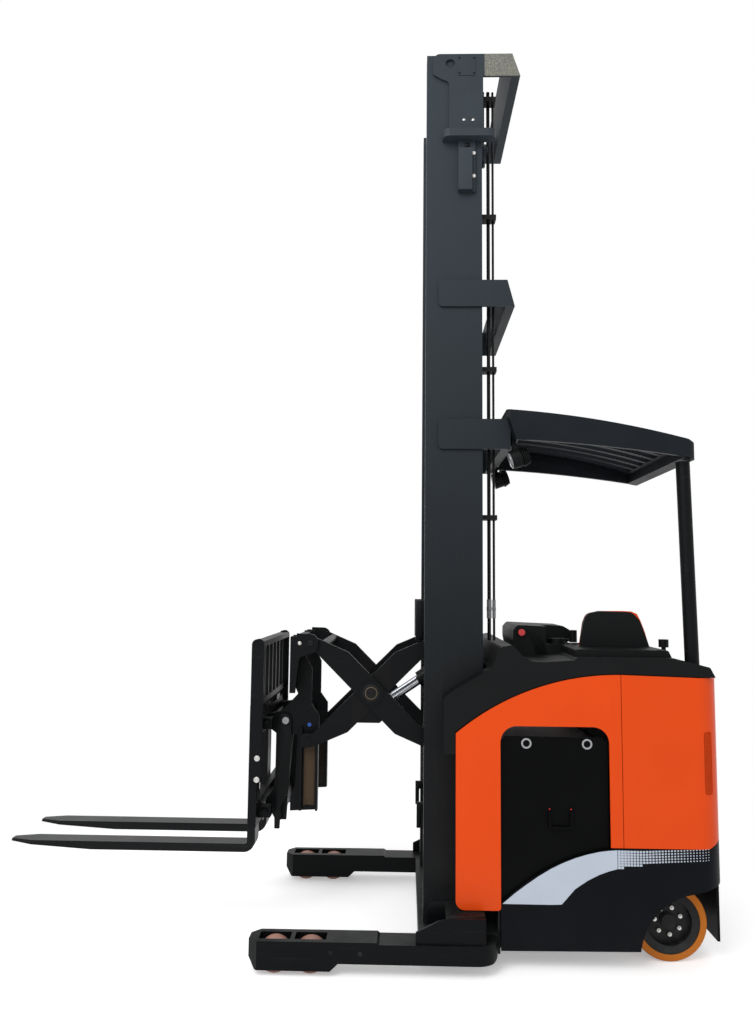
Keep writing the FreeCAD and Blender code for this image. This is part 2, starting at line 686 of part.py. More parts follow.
def top_cover():
    """Black cover with the dash, the side shoulders and the cheeks beside the mast."""
    half = S.body_half - S.seam_gap
    top = S.panel_top
    lift = 6
    profile = [
        (S.panel_front - 56, top - 368, 12), (S.panel_front - 56, top - 112, 25),
        (S.panel_front + 3, top - 72, 30), (S.panel_front + 163, top + 22, 60),
    ]
    # Columns: share of the way from the panels' front to their seam, height above the panels, radius
    dash = (
        (0.276, 120, 20), (0.347, 132, 20), (0.411, 80, 30), (0.466, 56, 20), (0.543, 54, 0), (0.724, 64, 0),
        (0.744, 77, 0),
    )
    for share, up, radius in dash:
        corner = (S.panel_front + PANEL_RUN * share, top + up)
        profile.append(corner + (radius,) if radius else corner)
    profile += [
        (S.body_rear - 218.5, top + 77, 40), (S.body_rear - 99.5, top + 50, 30), (S.body_rear - 52.5, top + 38, 10),
        (S.body_rear - 34.5, top + 3), (S.body_rear - 28.5, top - 8), (S.panel_seam, top + lift),
        ("arc", S.panel_front + PANEL_RUN / 2, PANEL_MIDDLE + lift, S.panel_front - 3, PANEL_CORNER + lift),
        (S.panel_front - 3, top - 368),
    ]
    solid = slab("cover_solid", "XZ", profile, -half, half)
    hollow = slab("cover_hollow", "XZ", profile, -half + S.panel_thick, half - S.panel_thick)
    hollow.setExpression("Placement.Base.z", "0 - dims.panel_thick")
    high = top + 192
    mast_gap = block("cover_mast_gap", S.mast_front + 47, S.hoop_rear - 175, -S.mast_half - 16,
                     S.mast_half + 16, top - 408, high)
    bay = block("cover_bay", BAY_FRONT - 20, S.body_rear + 80, -S.bay_side + 20, S.body_half + 20,
                top - 208, high)
    keep = block("cover_far_cheek", BAY_FRONT - 20, S.body_rear + 80, S.body_half - 53, S.body_half + 20,
                 top - 208, high)
    bay_cut = carve("cover_bay_cut", bay, [keep])
    console_seat = block("cover_console_seat", DESK_X - 142, DESK_X + 139 + S.seat_gap, -130 - S.seat_gap,
                         330 + S.seat_gap, top + 22, high)
    post_hole = leaning_post("cover_post_hole", S.post_r + 1)
    skin = carve("cover_skin", solid, [hollow, mast_gap, bay_cut, console_seat, post_hole])
    piece("top_cover", join("cover_body", [skin] + cover_lips(half)))
    return solid


def cover_lips(half):
    """Strips inside the cover's sides that close the slit above the orange panels."""
    start = S.panel_front + 60
    run = PANEL_RUN - 60
    low = S.panel_top - PANEL_BOW + root(PANEL_BOW * PANEL_BOW - run * run)
    middle = S.panel_front + PANEL_RUN / 2
    up = 24
    down = 14
    near = slab("cover_lip_near", "XZ", [
        (start, low + up), ("arc", middle, PANEL_MIDDLE + up, S.panel_seam, S.panel_top + up),
        (S.body_rear - 128, S.panel_top + 20), (S.body_rear - 128, S.panel_top - 16),
        (S.panel_seam, S.panel_top - down), ("arc", middle, PANEL_MIDDLE - down, start, low - down),
    ], -half + S.panel_thick - 1, -half + S.panel_thick + 6)
    bay_end = block("cover_lip_end", BAY_FRONT - 25, S.body_rear, half - 40, half, S.panel_top - 60,
                    S.panel_top + 60)
    return [near, carve("cover_lip_far", flipped("cover_lip_whole", near), [bay_end])]


def backrest():
    """Operator's backrest: base step, orange shell and black pad."""
    x = S.panel_seam
    shelf = S.panel_top + 77
    seat = shelf + 33 + S.seat_gap
    base = slab("backrest_step", "XZ", [
        (x - 196, shelf), (x - 188, shelf + 33, 10), (x + 242, shelf + 33, 14), (x + 258, shelf),
    ], -470, -130 - S.seat_gap)
    piece("backrest_base", base)
    # Columns: name, inset of the arch, low Y, high Y
    layers = (
        ("backrest_shell", 0, -250, -219),
        ("backrest_pad", 6, -219 + S.seat_gap, -165),
    )
    for name, inset, low, high in layers:
        arch = slab(name + "_body", "XZ", [
            (x - 122 + inset, seat), (x - 104 + inset, shelf + 150, 60), (x - 86 + inset, shelf + 194 - inset, 40),
            (x - 24, shelf + 208 - inset, 60), (x + 140, shelf + 204 - inset, 55),
            (x + 178 - inset, shelf + 160, 50), (x + 222 - inset, seat),
        ], low, high)
        piece(name, arch)


def controls(cover_solid):
    """Console, steering tiller, control handle and stop button."""
    x = DESK_X
    z = S.panel_top
    form = slab("console_form", "XZ", [
        (x - 131, z + 58), (x - 144, z + 129), (x - 144, z + 180, 12), (x - 122, z + 206, 20), (x + 147, z + 196, 20),
        (x + 183, z + 176, 10), (x + 183, z + 120, 10), (x + 139, z + 84), (x + 139, z + 54), (x + 84, z + 32),
        (x - 61, z + 32),
    ], -130, 330)
    seat = z + 110
    recess = block("console_recess", x + 24, x + 190, -131, 60, seat, z + 215)
    desk = carve("console_body", form, [recess])
    piece("console", desk)
    stem = rod("stop_stem", "Y", 12, x - 104, -146, z + 170, 40)
    head = rod("stop_head", "Y", 17, x - 104, -156, z + 170, 12)
    piece("stop_button", carve("stop_trim", join("stop_body", [stem, head]), [desk]))
    hub_x = x + 95
    hub_y = -50
    swing = 84
    hub = rod("tiller_hub", "Z", 46, hub_x, hub_y, seat + S.seat_gap, 26)
    bar = block("tiller_bar", hub_x, hub_x + swing, hub_y - 10, hub_y + 10, seat + 10, seat + 24)
    grip = rod("tiller_grip", "Z", 20, hub_x + swing, hub_y, seat + 7, 62)
    piece("steering_tiller", join("tiller_body", [hub, bar, grip]))
    knob_x = S.body_rear - 173.5
    stalk = rod("handle_stalk", "Z", 11, knob_x, -250, z + 32, 90)
    ball = rod("handle_ball", "Z", 24, knob_x, -250, z + 110, 38)
    piece("control_handle", carve("handle_trim", join("handle_body", [stalk, ball]), [cover_solid]))
    piece("floor_mat", block("mat_block", BAY_FRONT + 4, S.body_rear - 66, -S.bay_side + 4, S.body_half - 66,
                             S.floor_top + S.seat_gap, S.floor_top + 15))


# Overhead guard

def guard():
    """Roof guard on the mast and a single rear post."""
    half = S.guard_half
    top = S.guard_top
    rear = S.guard_rear - 78
    solid = slab("guard_solid", "XZ", [
        (S.guard_front, top), ("arc", 1168, top - 48, rear - 31, top - 142), (rear, top - 158),
        (rear, top - 240), (rear - 40, top - 228), ("arc", 1168, top - 174, S.guard_front + 46, top - 147),
    ], -half, half)
    plan = slab("guard_plan", "XY", [
        (S.guard_front, -half, 20), (rear + 6, -half, 60), (S.guard_rear - 20, 0, 500), (rear + 6, half, 60),
        (S.guard_front, half, 20),
    ], top - 362, top + 138)
    form = doc.addObject("Part::Common", "guard_form")
    form.Base = solid
    form.Tool = plan
    well = slab("guard_well", "XZ", [
        (S.guard_front + 60, top - 400), (S.guard_front + 60, top - 36), ("arc", 1168, top - 78, rear - 50, top - 176),
        (rear - 50, top - 400),
    ], -half + 24, half - 24)
    slots = []
    for i in range(7):
        y = -360 + i * 120
        slots.append(block("guard_slot_%d" % i, S.guard_front + 80, rear - 70, y - 42, y + 42, top - 262,
                           top + 138))
    reach = S.mast_half + S.hoop_thick + S.seat_gap
    perch = block("guard_perch", S.guard_front - 42, S.hoop_rear - 60 + S.seat_gap, -reach, reach, top - 262,
                  top - 32 + S.seat_gap)
    roof = carve("guard_roof", form, [well, perch] + slots)
    piece("overhead_guard", roof)
    work_lights(roof)
    post = leaning_post("post_tube", S.post_r)
    foot = block("post_foot", POST_FOOT_X - 45, POST_FOOT_X + 45, S.post_y - 50, S.post_y + 50,
                 S.panel_top - 38, S.panel_top - 24)
    tube = carve("post_trim", join("post_joined", [post, foot]),
                 [block("post_trim_tool", S.drive_x, S.body_rear + 30, S.post_y - 80, S.post_y + 80,
                        S.guard_top - 242, S.guard_top)])
    piece("guard_post", tube)


def work_lights(roof):
    """Two round work lights under the front of the guard, turned a little down."""
    slope = math.radians(20)
    ux, uz = -math.cos(slope), -math.sin(slope)
    x = float(S.guard_front + 68)
    z = float(S.guard_top - 221)
    for name, y in (("near", -390), ("far", 390)):
        parts = [aimed("light_can_" + name, 46, -14, 36, y, x, z, ux, uz),
                 aimed("light_core_" + name, 32, -52, 0, y, x, z, ux, uz)]
        for i in range(4):
            parts.append(aimed("light_fin_%s_%d" % (name, i), 52 - i * 3, -24 - i * 9, -19 - i * 9, y, x, z, ux, uz))
        parts.append(block("light_stem_" + name, S.guard_front + 38, S.guard_front + 58, y - 12, y + 12,
                           S.guard_top - 208, S.guard_top - 60))
        piece("work_light_" + name, carve("light_trim_" + name, join("light_body_" + name, parts), [roof]))


# Mast

def rail(tag, x0, x1, face, deep, flange, z0, z1):
    """A channel rail on the near side, open towards the centre line."""
    web = S.web_thick
    return slab(tag, "XY", [
        (x0, -face), (x1, -face), (x1, -face + deep), (x1 - flange, -face + deep),
        (x1 - flange, -face + web), (x0 + flange, -face + web), (x0 + flange, -face + deep), (x0, -face + deep),
    ], z0, z1)


def mast_outer():
    """Outer rails with their head plates, and the cross hoops behind them."""
    face = -S.mast_half - S.hoop_thick
    web = rail("outer_rail", S.mast_front, S.mast_rear, S.mast_half, S.flange_deep, S.flange_thick,
               S.base_top, S.mast_top)
    foot = block("outer_rail_foot", S.mast_front, S.mast_rear, -S.mast_half, -S.mast_half + S.flange_deep,
                 S.base_top, S.base_top + 10)
    pair("mast_rail", join("mast_rail_body", [web, foot]))

    # Columns: name, front end, low edge, high edge, how much shorter its top is, rear end
    hoops = (
        ("head", 620, S.mast_top - 120, S.mast_top, 40, S.hoop_rear),
        ("middle", 416, S.mast_top * 0.6987, S.mast_top * 0.6987 + 136, 36, S.hoop_rear - 35),
        ("guard", 416, S.guard_top - 182, S.guard_top - 32, 0, S.hoop_rear - 60),
    )
    for name, front, low, high, slant, rear in hoops:
        side = slab("hoop_side_" + name, "XZ", [
            (front, low, 20), (front, high, 20), (rear - slant, high), (rear, low),
        ], face, -S.mast_half)
        bar = slab("hoop_bar_" + name, "XZ", [
            (rear - slant - 45, high), (rear - slant, high), (rear, low), (rear - 45, low),
        ], face, -face)
        parts = [side, bar]
        if name == "head":
            parts += head_plates(face)
        solid = join("hoop_near_" + name, parts)
        whole = join("hoop_solid_" + name, [solid, flipped("hoop_far_" + name, solid)])
        if name == "head":
            window = rod("head_hole", "Y", 24, 472, face - 20, S.mast_top - 52, 2 * S.mast_half + 80)
            whole = carve("hoop_cut_" + name, whole, [window])
        piece("mast_hoop_" + name, whole)


def head_plates(face):
    """Stepped head plate, bumper pad and sensor box on the outside of the near rail."""
    head = slab("head_plate", "XZ", [
        (384, S.mast_top - 111, 16), (384, S.mast_top, 36), (640, S.mast_top), (640, S.mast_top - 432, 10),
        (466, S.mast_top - 432, 10), (466, S.mast_top - 150, 30), (430, S.mast_top - 138, 20),
    ], face, -S.mast_half)
    pad = slab("head_pad", "XY", [
        (434, face - 50, 34), (700, face - 50, 34), (700, -S.mast_half), (434, -S.mast_half),
    ], S.mast_top - 471, S.mast_top - 431)
    cover = slab("head_cover", "XZ", [
        (512, S.mast_top - 118, 4), (512, S.mast_top - 16, 4), (600, S.mast_top - 16, 4),
        (600, S.mast_top - 118, 4),
    ], face - 3, face)
    box = block("head_box", 512, 582, face - 26, -S.mast_half, S.mast_top - 740, S.mast_top - 520)
    strap = block("head_box_strap", 512, 600, face, -S.mast_half, S.mast_top - 740, S.mast_top - 440)
    return [head, pad, cover, box, strap]


def stage(tag, x0, x1, face, low, high, back, ties):
    """A moving mast stage: two rails and cross ties."""
    near = rail(tag + "_rail", x0, x1, face, S.rail_deep, S.rail_thick, low, high)
    parts = [near, flipped(tag + "_rail_far", near)]
    pad = block(tag + "_pad", x0 + 30, x1 - 30, -face - S.stage_gap + S.seat_gap, -face + 2, low + 15, low + 75)
    parts += [pad, flipped(tag + "_pad_far", pad)]
    for i, (tie_low, tie_high) in enumerate(ties):
        parts.append(block("%s_tie_%d" % (tag, i), x1 - back, x1 - back + 10, -face + 10, face - 10,
                           tie_low, tie_high))
    return parts


def lift_cylinder(tag, y):
    """A long lift cylinder barrel with a closed foot and a gland."""
    tube = rod(tag + "_tube", "Z", 27, S.mast_rear - 30, y, S.base_top + 10, S.mast_top - 1337)
    bore = rod(tag + "_bore", "Z", 18 + S.run_gap, S.mast_rear - 30, y, S.base_top + 40,
               S.mast_top - 1237)
    return carve(tag, tube, [bore])


def mast_stages():
    """Middle and inner stages with the lift cylinders and the free lift cylinder."""
    mid_face = S.mast_half - S.web_thick - S.stage_gap
    inner_face = mid_face - S.web_thick - S.stage_gap
    barrels = doc.addObject("Part::Compound", "lift_barrels")
    barrels.Links = [lift_cylinder("lift_barrel_near", -300), lift_cylinder("lift_barrel_far", 300)]
    piece("lift_cylinder_barrels", barrels)
    parts = stage("middle", S.mid_front, S.mid_rear, mid_face, S.stage_low, S.stage_top, 8,
                  ((S.stage_low, S.stage_low + 120), (1500, 1600), (2900, 3000),
                   (S.stage_top - 120, S.stage_top)))
    for name, y in (("near", -300), ("far", 300)):
        parts.append(rod("lift_rod_" + name, "Z", 18, S.mast_rear - 30, y, S.base_top + 50,
                         S.stage_top - S.base_top - 115))
        parts.append(block("rod_head_" + name, S.mid_rear - 12, S.mast_rear, y - 30, y + 30,
                           S.stage_top - 70, S.stage_top))
    piece("mast_middle", join("mast_middle_body", parts))
    inner = stage("inner", S.inner_front, S.inner_rear, inner_face, S.stage_low + 15, S.stage_top - 15, 7,
                  ((S.stage_low + 15, S.stage_low + 110), (2250, 2330), (S.stage_top - 130, S.stage_top - 15)))
    barrel = rod("free_barrel", "Z", 32, 490, 0, S.stage_low + 30, S.free_long)
    barrel_bore = rod("free_bore", "Z", 20 + S.run_gap, 490, 0, S.stage_low + 70, S.free_long + 50)
    seat = block("free_seat", 455, S.inner_rear - 4, -45, 45, S.stage_low + 15, S.stage_low + 32)
    inner.append(seat)
    tube = join("inner_tube", [barrel, block("free_foot", 460, 545, -40, 40, S.stage_low + 31, S.stage_low + 50)])
    inner.append(carve("free_tube", tube, [barrel_bore]))
    piece("mast_inner", join("mast_inner_body", inner))
    ram = rod("free_ram", "Z", 20, 490, 0, S.stage_low + 85 + S.free_drop, S.free_long - 30)
    yoke_z = S.stage_low + S.free_long + S.free_drop + 40
    yoke = block("free_yoke", 462, 518, -58, 58, yoke_z, yoke_z + 27)
    wheels = []
    for name, y in (("near", -46), ("far", 28)):
        wheels.append(rod("free_pulley_" + name, "Y", 36, 490, y, yoke_z + 70, 18))
    ears = block("free_ears", 478, 502, -58, 58, yoke_z + 20, yoke_z + 85)
    piece("free_lift_ram", join("free_lift_body", [ram, yoke, ears] + wheels))


def mast_lines():
    """Two hydraulic lines down the rear of the mast."""
    lines = []
    low = S.panel_top + 137
    for name, x, radius in (("thick", LINE_X, 9), ("thin", LINE_X + 24, 6)):
        lines.append(rod("mast_line_" + name, "Z", radius, x, -300, low, S.mast_top - 132 - low))
    clamp_rows = []
    for i, down in enumerate((2387, 1637, 837, 197)):
        z = S.mast_top - down
        clamp_rows.append(block("line_clamp_%d" % i, S.mast_rear + S.seat_gap, LINE_X + 36, -350, -288,
                                z - 12, z + 12))
    return piece("mast_lines", join("mast_lines_body", lines + clamp_rows))


# Lift carriage and pantograph

HALF_SPAN = S.reach_span / 2
HALF_RISE = root(S.arm_half * S.arm_half - HALF_SPAN * HALF_SPAN)
CENTRE_X = S.pin_x - HALF_SPAN
CENTRE_Z = S.pin_z - HALF_RISE
LOW_Z = S.pin_z - HALF_RISE * 2
OUTER_IN = S.arm_out - S.arm_thick
INNER_OUT = OUTER_IN - S.arm_gap
INNER_IN = INNER_OUT - S.arm_thick
CHAN_OUT = INNER_IN - S.arm_gap
CHAN_IN = CHAN_OUT - 40
EYE_X = CENTRE_X - 3
EYE_Z = CENTRE_Z - 127
TRUNNION_X = S.pin_x + 98.5
TRUNNION_Z = S.pin_z - 95
RAM_Y = 110


def channel(tag, x, z0, z1):
    """An upright roller channel on the near side, open outwards."""
    half = S.roller_r + S.roller_gap + S.chan_wall
    return slab(tag, "XY", [
        (x - half, -CHAN_OUT), (x - half, -CHAN_IN), (x + half, -CHAN_IN), (x + half, -CHAN_OUT),
        (x + half - S.chan_wall, -CHAN_OUT), (x + half - S.chan_wall, -CHAN_IN - S.chan_wall),
        (x - half + S.chan_wall, -CHAN_IN - S.chan_wall), (x - half + S.chan_wall, -CHAN_OUT),
    ], z0, z1)


def lift_carriage():
    """Carriage that rides in the inner mast and holds the pantograph's rear pins."""
    web = CHAN_IN + S.chan_wall
    guide = channel("carriage_channel", S.pin_x, 600, LOW_Z + 60)
    plate = slab("carriage_plate", "XZ", [
        (385, 590), (385, 1000), (360, 1060), (360, 1470, 30), (385, 1600), (525, 1600), (525, 1240),
        (500, 1200), (500, 800), (525, 760), (525, 590),
    ], -web, -CHAN_IN)
    boss = rod("carriage_boss", "Y", 38, S.pin_x, -CHAN_OUT, S.pin_z, 35)
    pin = rod("carriage_pin", "Y", S.end_pin_r, S.pin_x, -INNER_OUT - 3, S.pin_z, 60)
    parts = [guide, plate, boss, pin]
    roller_x = (S.inner_front + S.inner_rear) / 2
    roller_r = (S.inner_rear - S.inner_front) / 2 - S.rail_thick - 0.5
    for i, z in enumerate((660, 1530)):
        parts.append(rod("carriage_axle_%d" % i, "Y", 22, roller_x, -352, z, 130))
        parts.append(rod("carriage_roller_%d" % i, "Y", roller_r, roller_x, -352, z, 30))
    far = [flipped(p.Name + "_far", p) for p in parts]
    top = block("carriage_top", 385, 445, -CHAN_IN - 5, CHAN_IN + 5, 1480, 1560)
    low = block("carriage_low", 385, 445, -CHAN_IN - 5, CHAN_IN + 5, 595, 660)
    lugs = []
    for side, y in (("near", -RAM_Y), ("far", RAM_Y)):
        for part, y0 in (("in", y - 42), ("out", y + 32)):
            lug = slab("ram_lug_%s_%s" % (side, part), "XZ", [
                (400, 1490), (400, 1440), (TRUNNION_X - 20, TRUNNION_Z - 20, 18), (TRUNNION_X + 20, TRUNNION_Z - 20, 18),
                (TRUNNION_X + 20, 1400), (445, 1500),
            ], y0, y0 + 10)
            lugs.append(lug)
        lugs.append(rod("ram_pin_" + side, "Y", 12, TRUNNION_X, y - 42, TRUNNION_Z, 84))
    return piece("lift_carriage", join("lift_carriage_body", parts + far + [top, low] + lugs))


def arm_corners(side):
    """Cranked outline of a scissor arm round the centre pivot; side is 1 or -1."""
    up = HALF_RISE
    out = HALF_SPAN
    upper = [
        (-out - 46, up - 44, 30), (-out - 42, up + 40, 30), (-out + 38, up + 20, 20), (-116, up - 46, 20),
    ]
    lower = [(-size(c[0]), -size(c[1]), c[2]) for c in upper]
    knee_low = (out - 16, -up + 34, 25)
    knee_up = (-out + 16, up - 34, 25)
    loop = upper + [knee_low] + lower + [knee_up]
    return [(CENTRE_X + size(c[0]) * side, CENTRE_Z + c[1], c[2]) for c in loop]


def scissor_arms():
    """Outer arms from the front upper pins to the rear rollers, inner arms the other way."""
    gap = S.run_gap
    outer = slab("outer_arm_plate", "XZ", arm_corners(1), -S.arm_out, -OUTER_IN)
    hub = rod("outer_arm_hub", "Y", 60, CENTRE_X, -S.arm_out - 7, CENTRE_Z, 20)
    roller = rod("outer_arm_roller", "Y", S.roller_r, S.pin_x, -CHAN_OUT + 2, LOW_Z, 26)
    roller_pin = rod("outer_arm_roller_pin", "Y", S.end_pin_r, S.pin_x, -OUTER_IN - 2, LOW_Z,
                     OUTER_IN - CHAN_OUT + 20)
    front_hole = rod("outer_arm_front_hole", "Y", S.end_pin_r + gap, FRONT_X, -S.arm_out - 10, S.pin_z, 60)
    centre_hole = rod("outer_arm_centre_hole", "Y", S.pivot_r + gap, CENTRE_X, -S.arm_out - 20, CENTRE_Z, 60)
    near = carve("outer_arm_near", join("outer_arm_solid", [outer, hub, roller_pin, roller]),
                 [front_hole, centre_hole])
    tie_share = 0.85
    tie = rod("outer_arm_tie", "Y", 20, CENTRE_X - HALF_SPAN * tie_share + 18.5, -OUTER_IN - 1,
              CENTRE_Z + HALF_RISE * tie_share + 23.6, OUTER_IN * 2 + 2)
    piece("scissor_arms_outer", join("outer_arms", [near, flipped("outer_arm_far", near), tie]))

    inner = slab("inner_arm_plate", "XZ", arm_corners(-1), -INNER_OUT, -INNER_IN)
    gusset = slab("inner_arm_gusset", "XZ", [
        (CENTRE_X - 110, CENTRE_Z - 120), (CENTRE_X - 79, CENTRE_Z - 150), (CENTRE_X + 41, CENTRE_Z - 150),
        (CENTRE_X + 74, CENTRE_Z - 118), (CENTRE_X + 20, CENTRE_Z + 10), (CENTRE_X - 60, CENTRE_Z - 20),
    ], -INNER_OUT + 4, -INNER_IN)
    pivot = rod("inner_arm_pivot", "Y", S.pivot_r, CENTRE_X, -S.arm_out - 12, CENTRE_Z,
                S.arm_out - INNER_OUT + 16)
    roller_in = rod("inner_arm_roller", "Y", S.roller_r, FRONT_X, -CHAN_OUT + 2, LOW_Z, 26)
    roller_in_pin = rod("inner_arm_roller_pin", "Y", S.end_pin_r, FRONT_X, -INNER_OUT - 4, LOW_Z,
                        INNER_OUT - CHAN_OUT + 20)
    rear_hole = rod("inner_arm_rear_hole", "Y", S.end_pin_r + gap, S.pin_x, -INNER_OUT - 10, S.pin_z, 60)
    near_in = carve("inner_arm_near", join("inner_arm_solid", [inner, gusset, pivot, roller_in_pin, roller_in]),
                    [rear_hole])
    tube = rod("inner_arm_tube", "Y", 42, CENTRE_X, -INNER_IN - 1, CENTRE_Z, INNER_IN * 2 + 2)
    lugs = []
    for side, y in (("near", -RAM_Y), ("far", RAM_Y)):
        for part, y0 in (("in", y - 26), ("out", y + 16)):
            lugs.append(slab("rod_lug_%s_%s" % (side, part), "XZ", [
                (CENTRE_X - 30, CENTRE_Z), (EYE_X - 24, EYE_Z - 20, 18), (EYE_X + 24, EYE_Z - 20, 18),
                (CENTRE_X + 30, CENTRE_Z),
            ], y0, y0 + 10))
        lugs.append(rod("rod_pin_" + side, "Y", 8, EYE_X, y - 26, EYE_Z, 52))
    piece("scissor_arms_inner",
          join("inner_arms", [near_in, flipped("inner_arm_far", near_in), tube] + lugs))


def aimed(name, radius, start, finish, y, x0, z0, ux, uz):
    """A cylinder in a plane of constant Y, along a direction from a point."""
    cylinder = doc.addObject("Part::Cylinder", name)
    bind(cylinder, "Radius", radius)
    bind(cylinder, "Height", finish - start)
    direction = FreeCAD.Vector(ux, 0, uz)
    spot = FreeCAD.Vector(x0, y, z0) + direction * start
    cylinder.Placement = FreeCAD.Placement(spot, FreeCAD.Rotation(FreeCAD.Vector(0, 0, 1), direction))
    return cylinder


def reach_cylinders():
    """Two cylinders that push the pantograph out from the lift carriage."""
    px, pz = float(TRUNNION_X), float(TRUNNION_Z)
    qx, qz = float(EYE_X), float(EYE_Z)
    long = math.hypot(qx - px, qz - pz)
    ux, uz = (qx - px) / long, (qz - pz) / long
    barrels = []
    rods = []
    for side, y in (("near", -RAM_Y), ("far", RAM_Y)):
        eye = rod("reach_eye_" + side, "Y", 22, TRUNNION_X, y - 30, TRUNNION_Z, 60)
        tube = aimed("reach_tube_" + side, 29, 15, 205, y, px, pz, ux, uz)
        pin_bore = rod("reach_eye_bore_" + side, "Y", 12 + S.run_gap, TRUNNION_X, y - 35, TRUNNION_Z, 70)
        ram_bore = aimed("reach_bore_" + side, 14 + S.run_gap, 60, 210, y, px, pz, ux, uz)
        barrels.append(carve("reach_barrel_" + side, join("reach_barrel_solid_" + side, [eye, tube]),
                             [pin_bore, ram_bore]))
        ram = aimed("reach_ram_" + side, 14, 155, long - 10, y, px, pz, ux, uz)
        rod_eye = rod("reach_rod_eye_" + side, "Y", 23, EYE_X, y - 13, EYE_Z, 26)
        eye_bore = rod("reach_rod_bore_" + side, "Y", 8 + 6, EYE_X, y - 20, EYE_Z, 40)
        rods.append(carve("reach_rod_" + side, join("reach_rod_solid_" + side, [ram, rod_eye]), [eye_bore]))
    for name, things in (("reach_cylinder_barrels", barrels), ("reach_cylinder_rods", rods)):
        group = doc.addObject("Part::Compound", name)
        group.Links = things
        piece(name, group)


def reach_frame():
    """Front frame: roller channels, upper lugs, tilt pivot and cross members."""
    web = CHAN_IN + S.chan_wall
    guide = channel("reach_channel", FRONT_X, 602, LOW_Z + 62)
    half = S.roller_r + S.roller_gap + S.chan_wall
    window = rod("reach_channel_dimple", "Y", 17, FRONT_X, -web - 2, 632, 7)
    plate = slab("reach_plate", "XZ", [
        (FRONT_X - 93, 594), (FRONT_X - 93, 660), (FRONT_X - 70, 720), (FRONT_X - 62, 960),
        (TILT_X - 34, S.tilt_z - 34, 32), (TILT_X - 34, S.tilt_z + 34, 32), (FRONT_X - 63, 1165),
        (FRONT_X - 93, 1230), (FRONT_X - 93, 1457), (FRONT_X - 35, 1457), (FRONT_X - 35, 1365),
        (FRONT_X + 6, 1290), (FRONT_X + 6, 1115), (FRONT_X + half, 1062), (FRONT_X + half, 602),
    ], -web, -CHAN_IN)
    lug = slab("reach_lug", "XZ", [
        (FRONT_X - 93, 1180), (FRONT_X - 93, 1457, 8), (FRONT_X - 62, 1457), (FRONT_X - 62, 1470),
        (FRONT_X + 44, 1468, 42), (FRONT_X + 44, 1384, 42), (FRONT_X - 50, 1352, 20), (FRONT_X - 66, 1180),
    ], -S.arm_out - 23, -S.arm_out - 5)
    front = block("reach_front_bar", FRONT_X - 93, FRONT_X - 66, -S.arm_out - 23, -CHAN_IN, 1200, 1440)
    tilt_pin = rod("reach_tilt_pin", "Y", 16, TILT_X, -web - 8, S.tilt_z, 52)
    pin = rod("reach_pin", "Y", S.end_pin_r, FRONT_X, -S.arm_out - 24, S.pin_z, 43)
    near = carve("reach_near", join("reach_near_solid", [guide, plate, lug, front, pin, tilt_pin]), [window])
    parts = [near, flipped("reach_far", near)]
    parts.append(block("reach_top_tie", FRONT_X - 93, FRONT_X - 53, -CHAN_IN - 5, CHAN_IN + 5, 1380, 1450))
    parts.append(block("reach_mid_tie", FRONT_X - 61, FRONT_X - 21, -CHAN_IN - 5, CHAN_IN + 5, 1010, 1060))
    parts.append(block("reach_low_tie", FRONT_X - 60, FRONT_X - 20, -CHAN_IN - 5, CHAN_IN + 5, 630, 690))
    return piece("reach_frame", join("reach_frame_body", parts))


def tilt_frame():
    """Frame that tilts on the reach frame and carries the side shift bars."""
    web = CHAN_IN + S.chan_wall
    plate = slab("tilt_plate", "XZ", [
        (TILT_X - 50, 545), (TILT_X - 82, 600, 20), (TILT_X - 100, 580), (TILT_X - 100, 640),
        (TILT_X - 60, 700), (TILT_X - 46, 960), (TILT_X - 100, 1000), (TILT_X - 100, 1060),
        (TILT_X - 30, 1075, 20), (TILT_X + 34, 1075, 30), (TILT_X + 34, 1000), (TILT_X + 12, 700),
        (TILT_X + 4, 545),
    ], -CHAN_IN + 11, -CHAN_IN + 29)
    hole = rod("tilt_hole", "Y", 16 + S.run_gap, TILT_X, -CHAN_IN, S.tilt_z, 60)
    near = carve("tilt_near", plate, [hole])
    parts = [near, flipped("tilt_far", near)]
    for i, z in enumerate((1030, 610)):
        parts.append(rod("shift_bar_%d" % i, "Y", 16, TILT_X - 84, -346, z, 692))
    parts.append(block("tilt_low_tie", TILT_X - 55, TILT_X - 20, -CHAN_IN + 12, CHAN_IN - 12, 560, 640))
    return piece("tilt_frame", join("tilt_frame_body", parts))


def fork_carriage():
    """Two fork bars with latch notches, end plates and side shift sleeves."""
    back = FORK_FACE + S.fork_thick
    upper = block("upper_bar", back, back + S.bar_thick, -S.bar_half + 6, S.bar_half - 6,
                  S.bar_top - S.bar_tall, S.bar_top)
    lower = block("lower_bar", back, back + S.bar_thick, -S.bar_half + 6, S.bar_half - 6, S.bar_low,
                  S.bar_low + S.bar_tall)
    notches = []
    for i in range(9):
        y = -340 + i * 85
        notches.append(block("latch_notch_%d" % i, back + 20, back + S.bar_thick + 5, y - 8, y + 8,
                             S.bar_top - 12, S.bar_top + 5))
    parts = [carve("notched_bar", upper, notches), lower]
    for name, y0 in (("near", -S.bar_half + 6), ("far", S.bar_half - 30)):
        parts.append(block("bar_end_" + name, back, back + S.bar_thick, y0, y0 + 24, S.bar_low, S.bar_top))
    for i, z in enumerate((1030, 610)):
        for name, y0 in (("near", -322), ("far", 262)):
            parts.append(block("sleeve_%s_%d" % (name, i), back + S.bar_thick - 2, TILT_X - 58, y0, y0 + 60,
                               z - 26, z + 26))
    solid = join("fork_carriage_solid", parts)
    bores = [rod("sleeve_bore_%d" % i, "Y", 16 + S.run_gap, TILT_X - 84, -420, z, 840)
             for i, z in enumerate((1030, 610))]
    return piece("fork_carriage", carve("fork_carriage_cut", solid, bores))


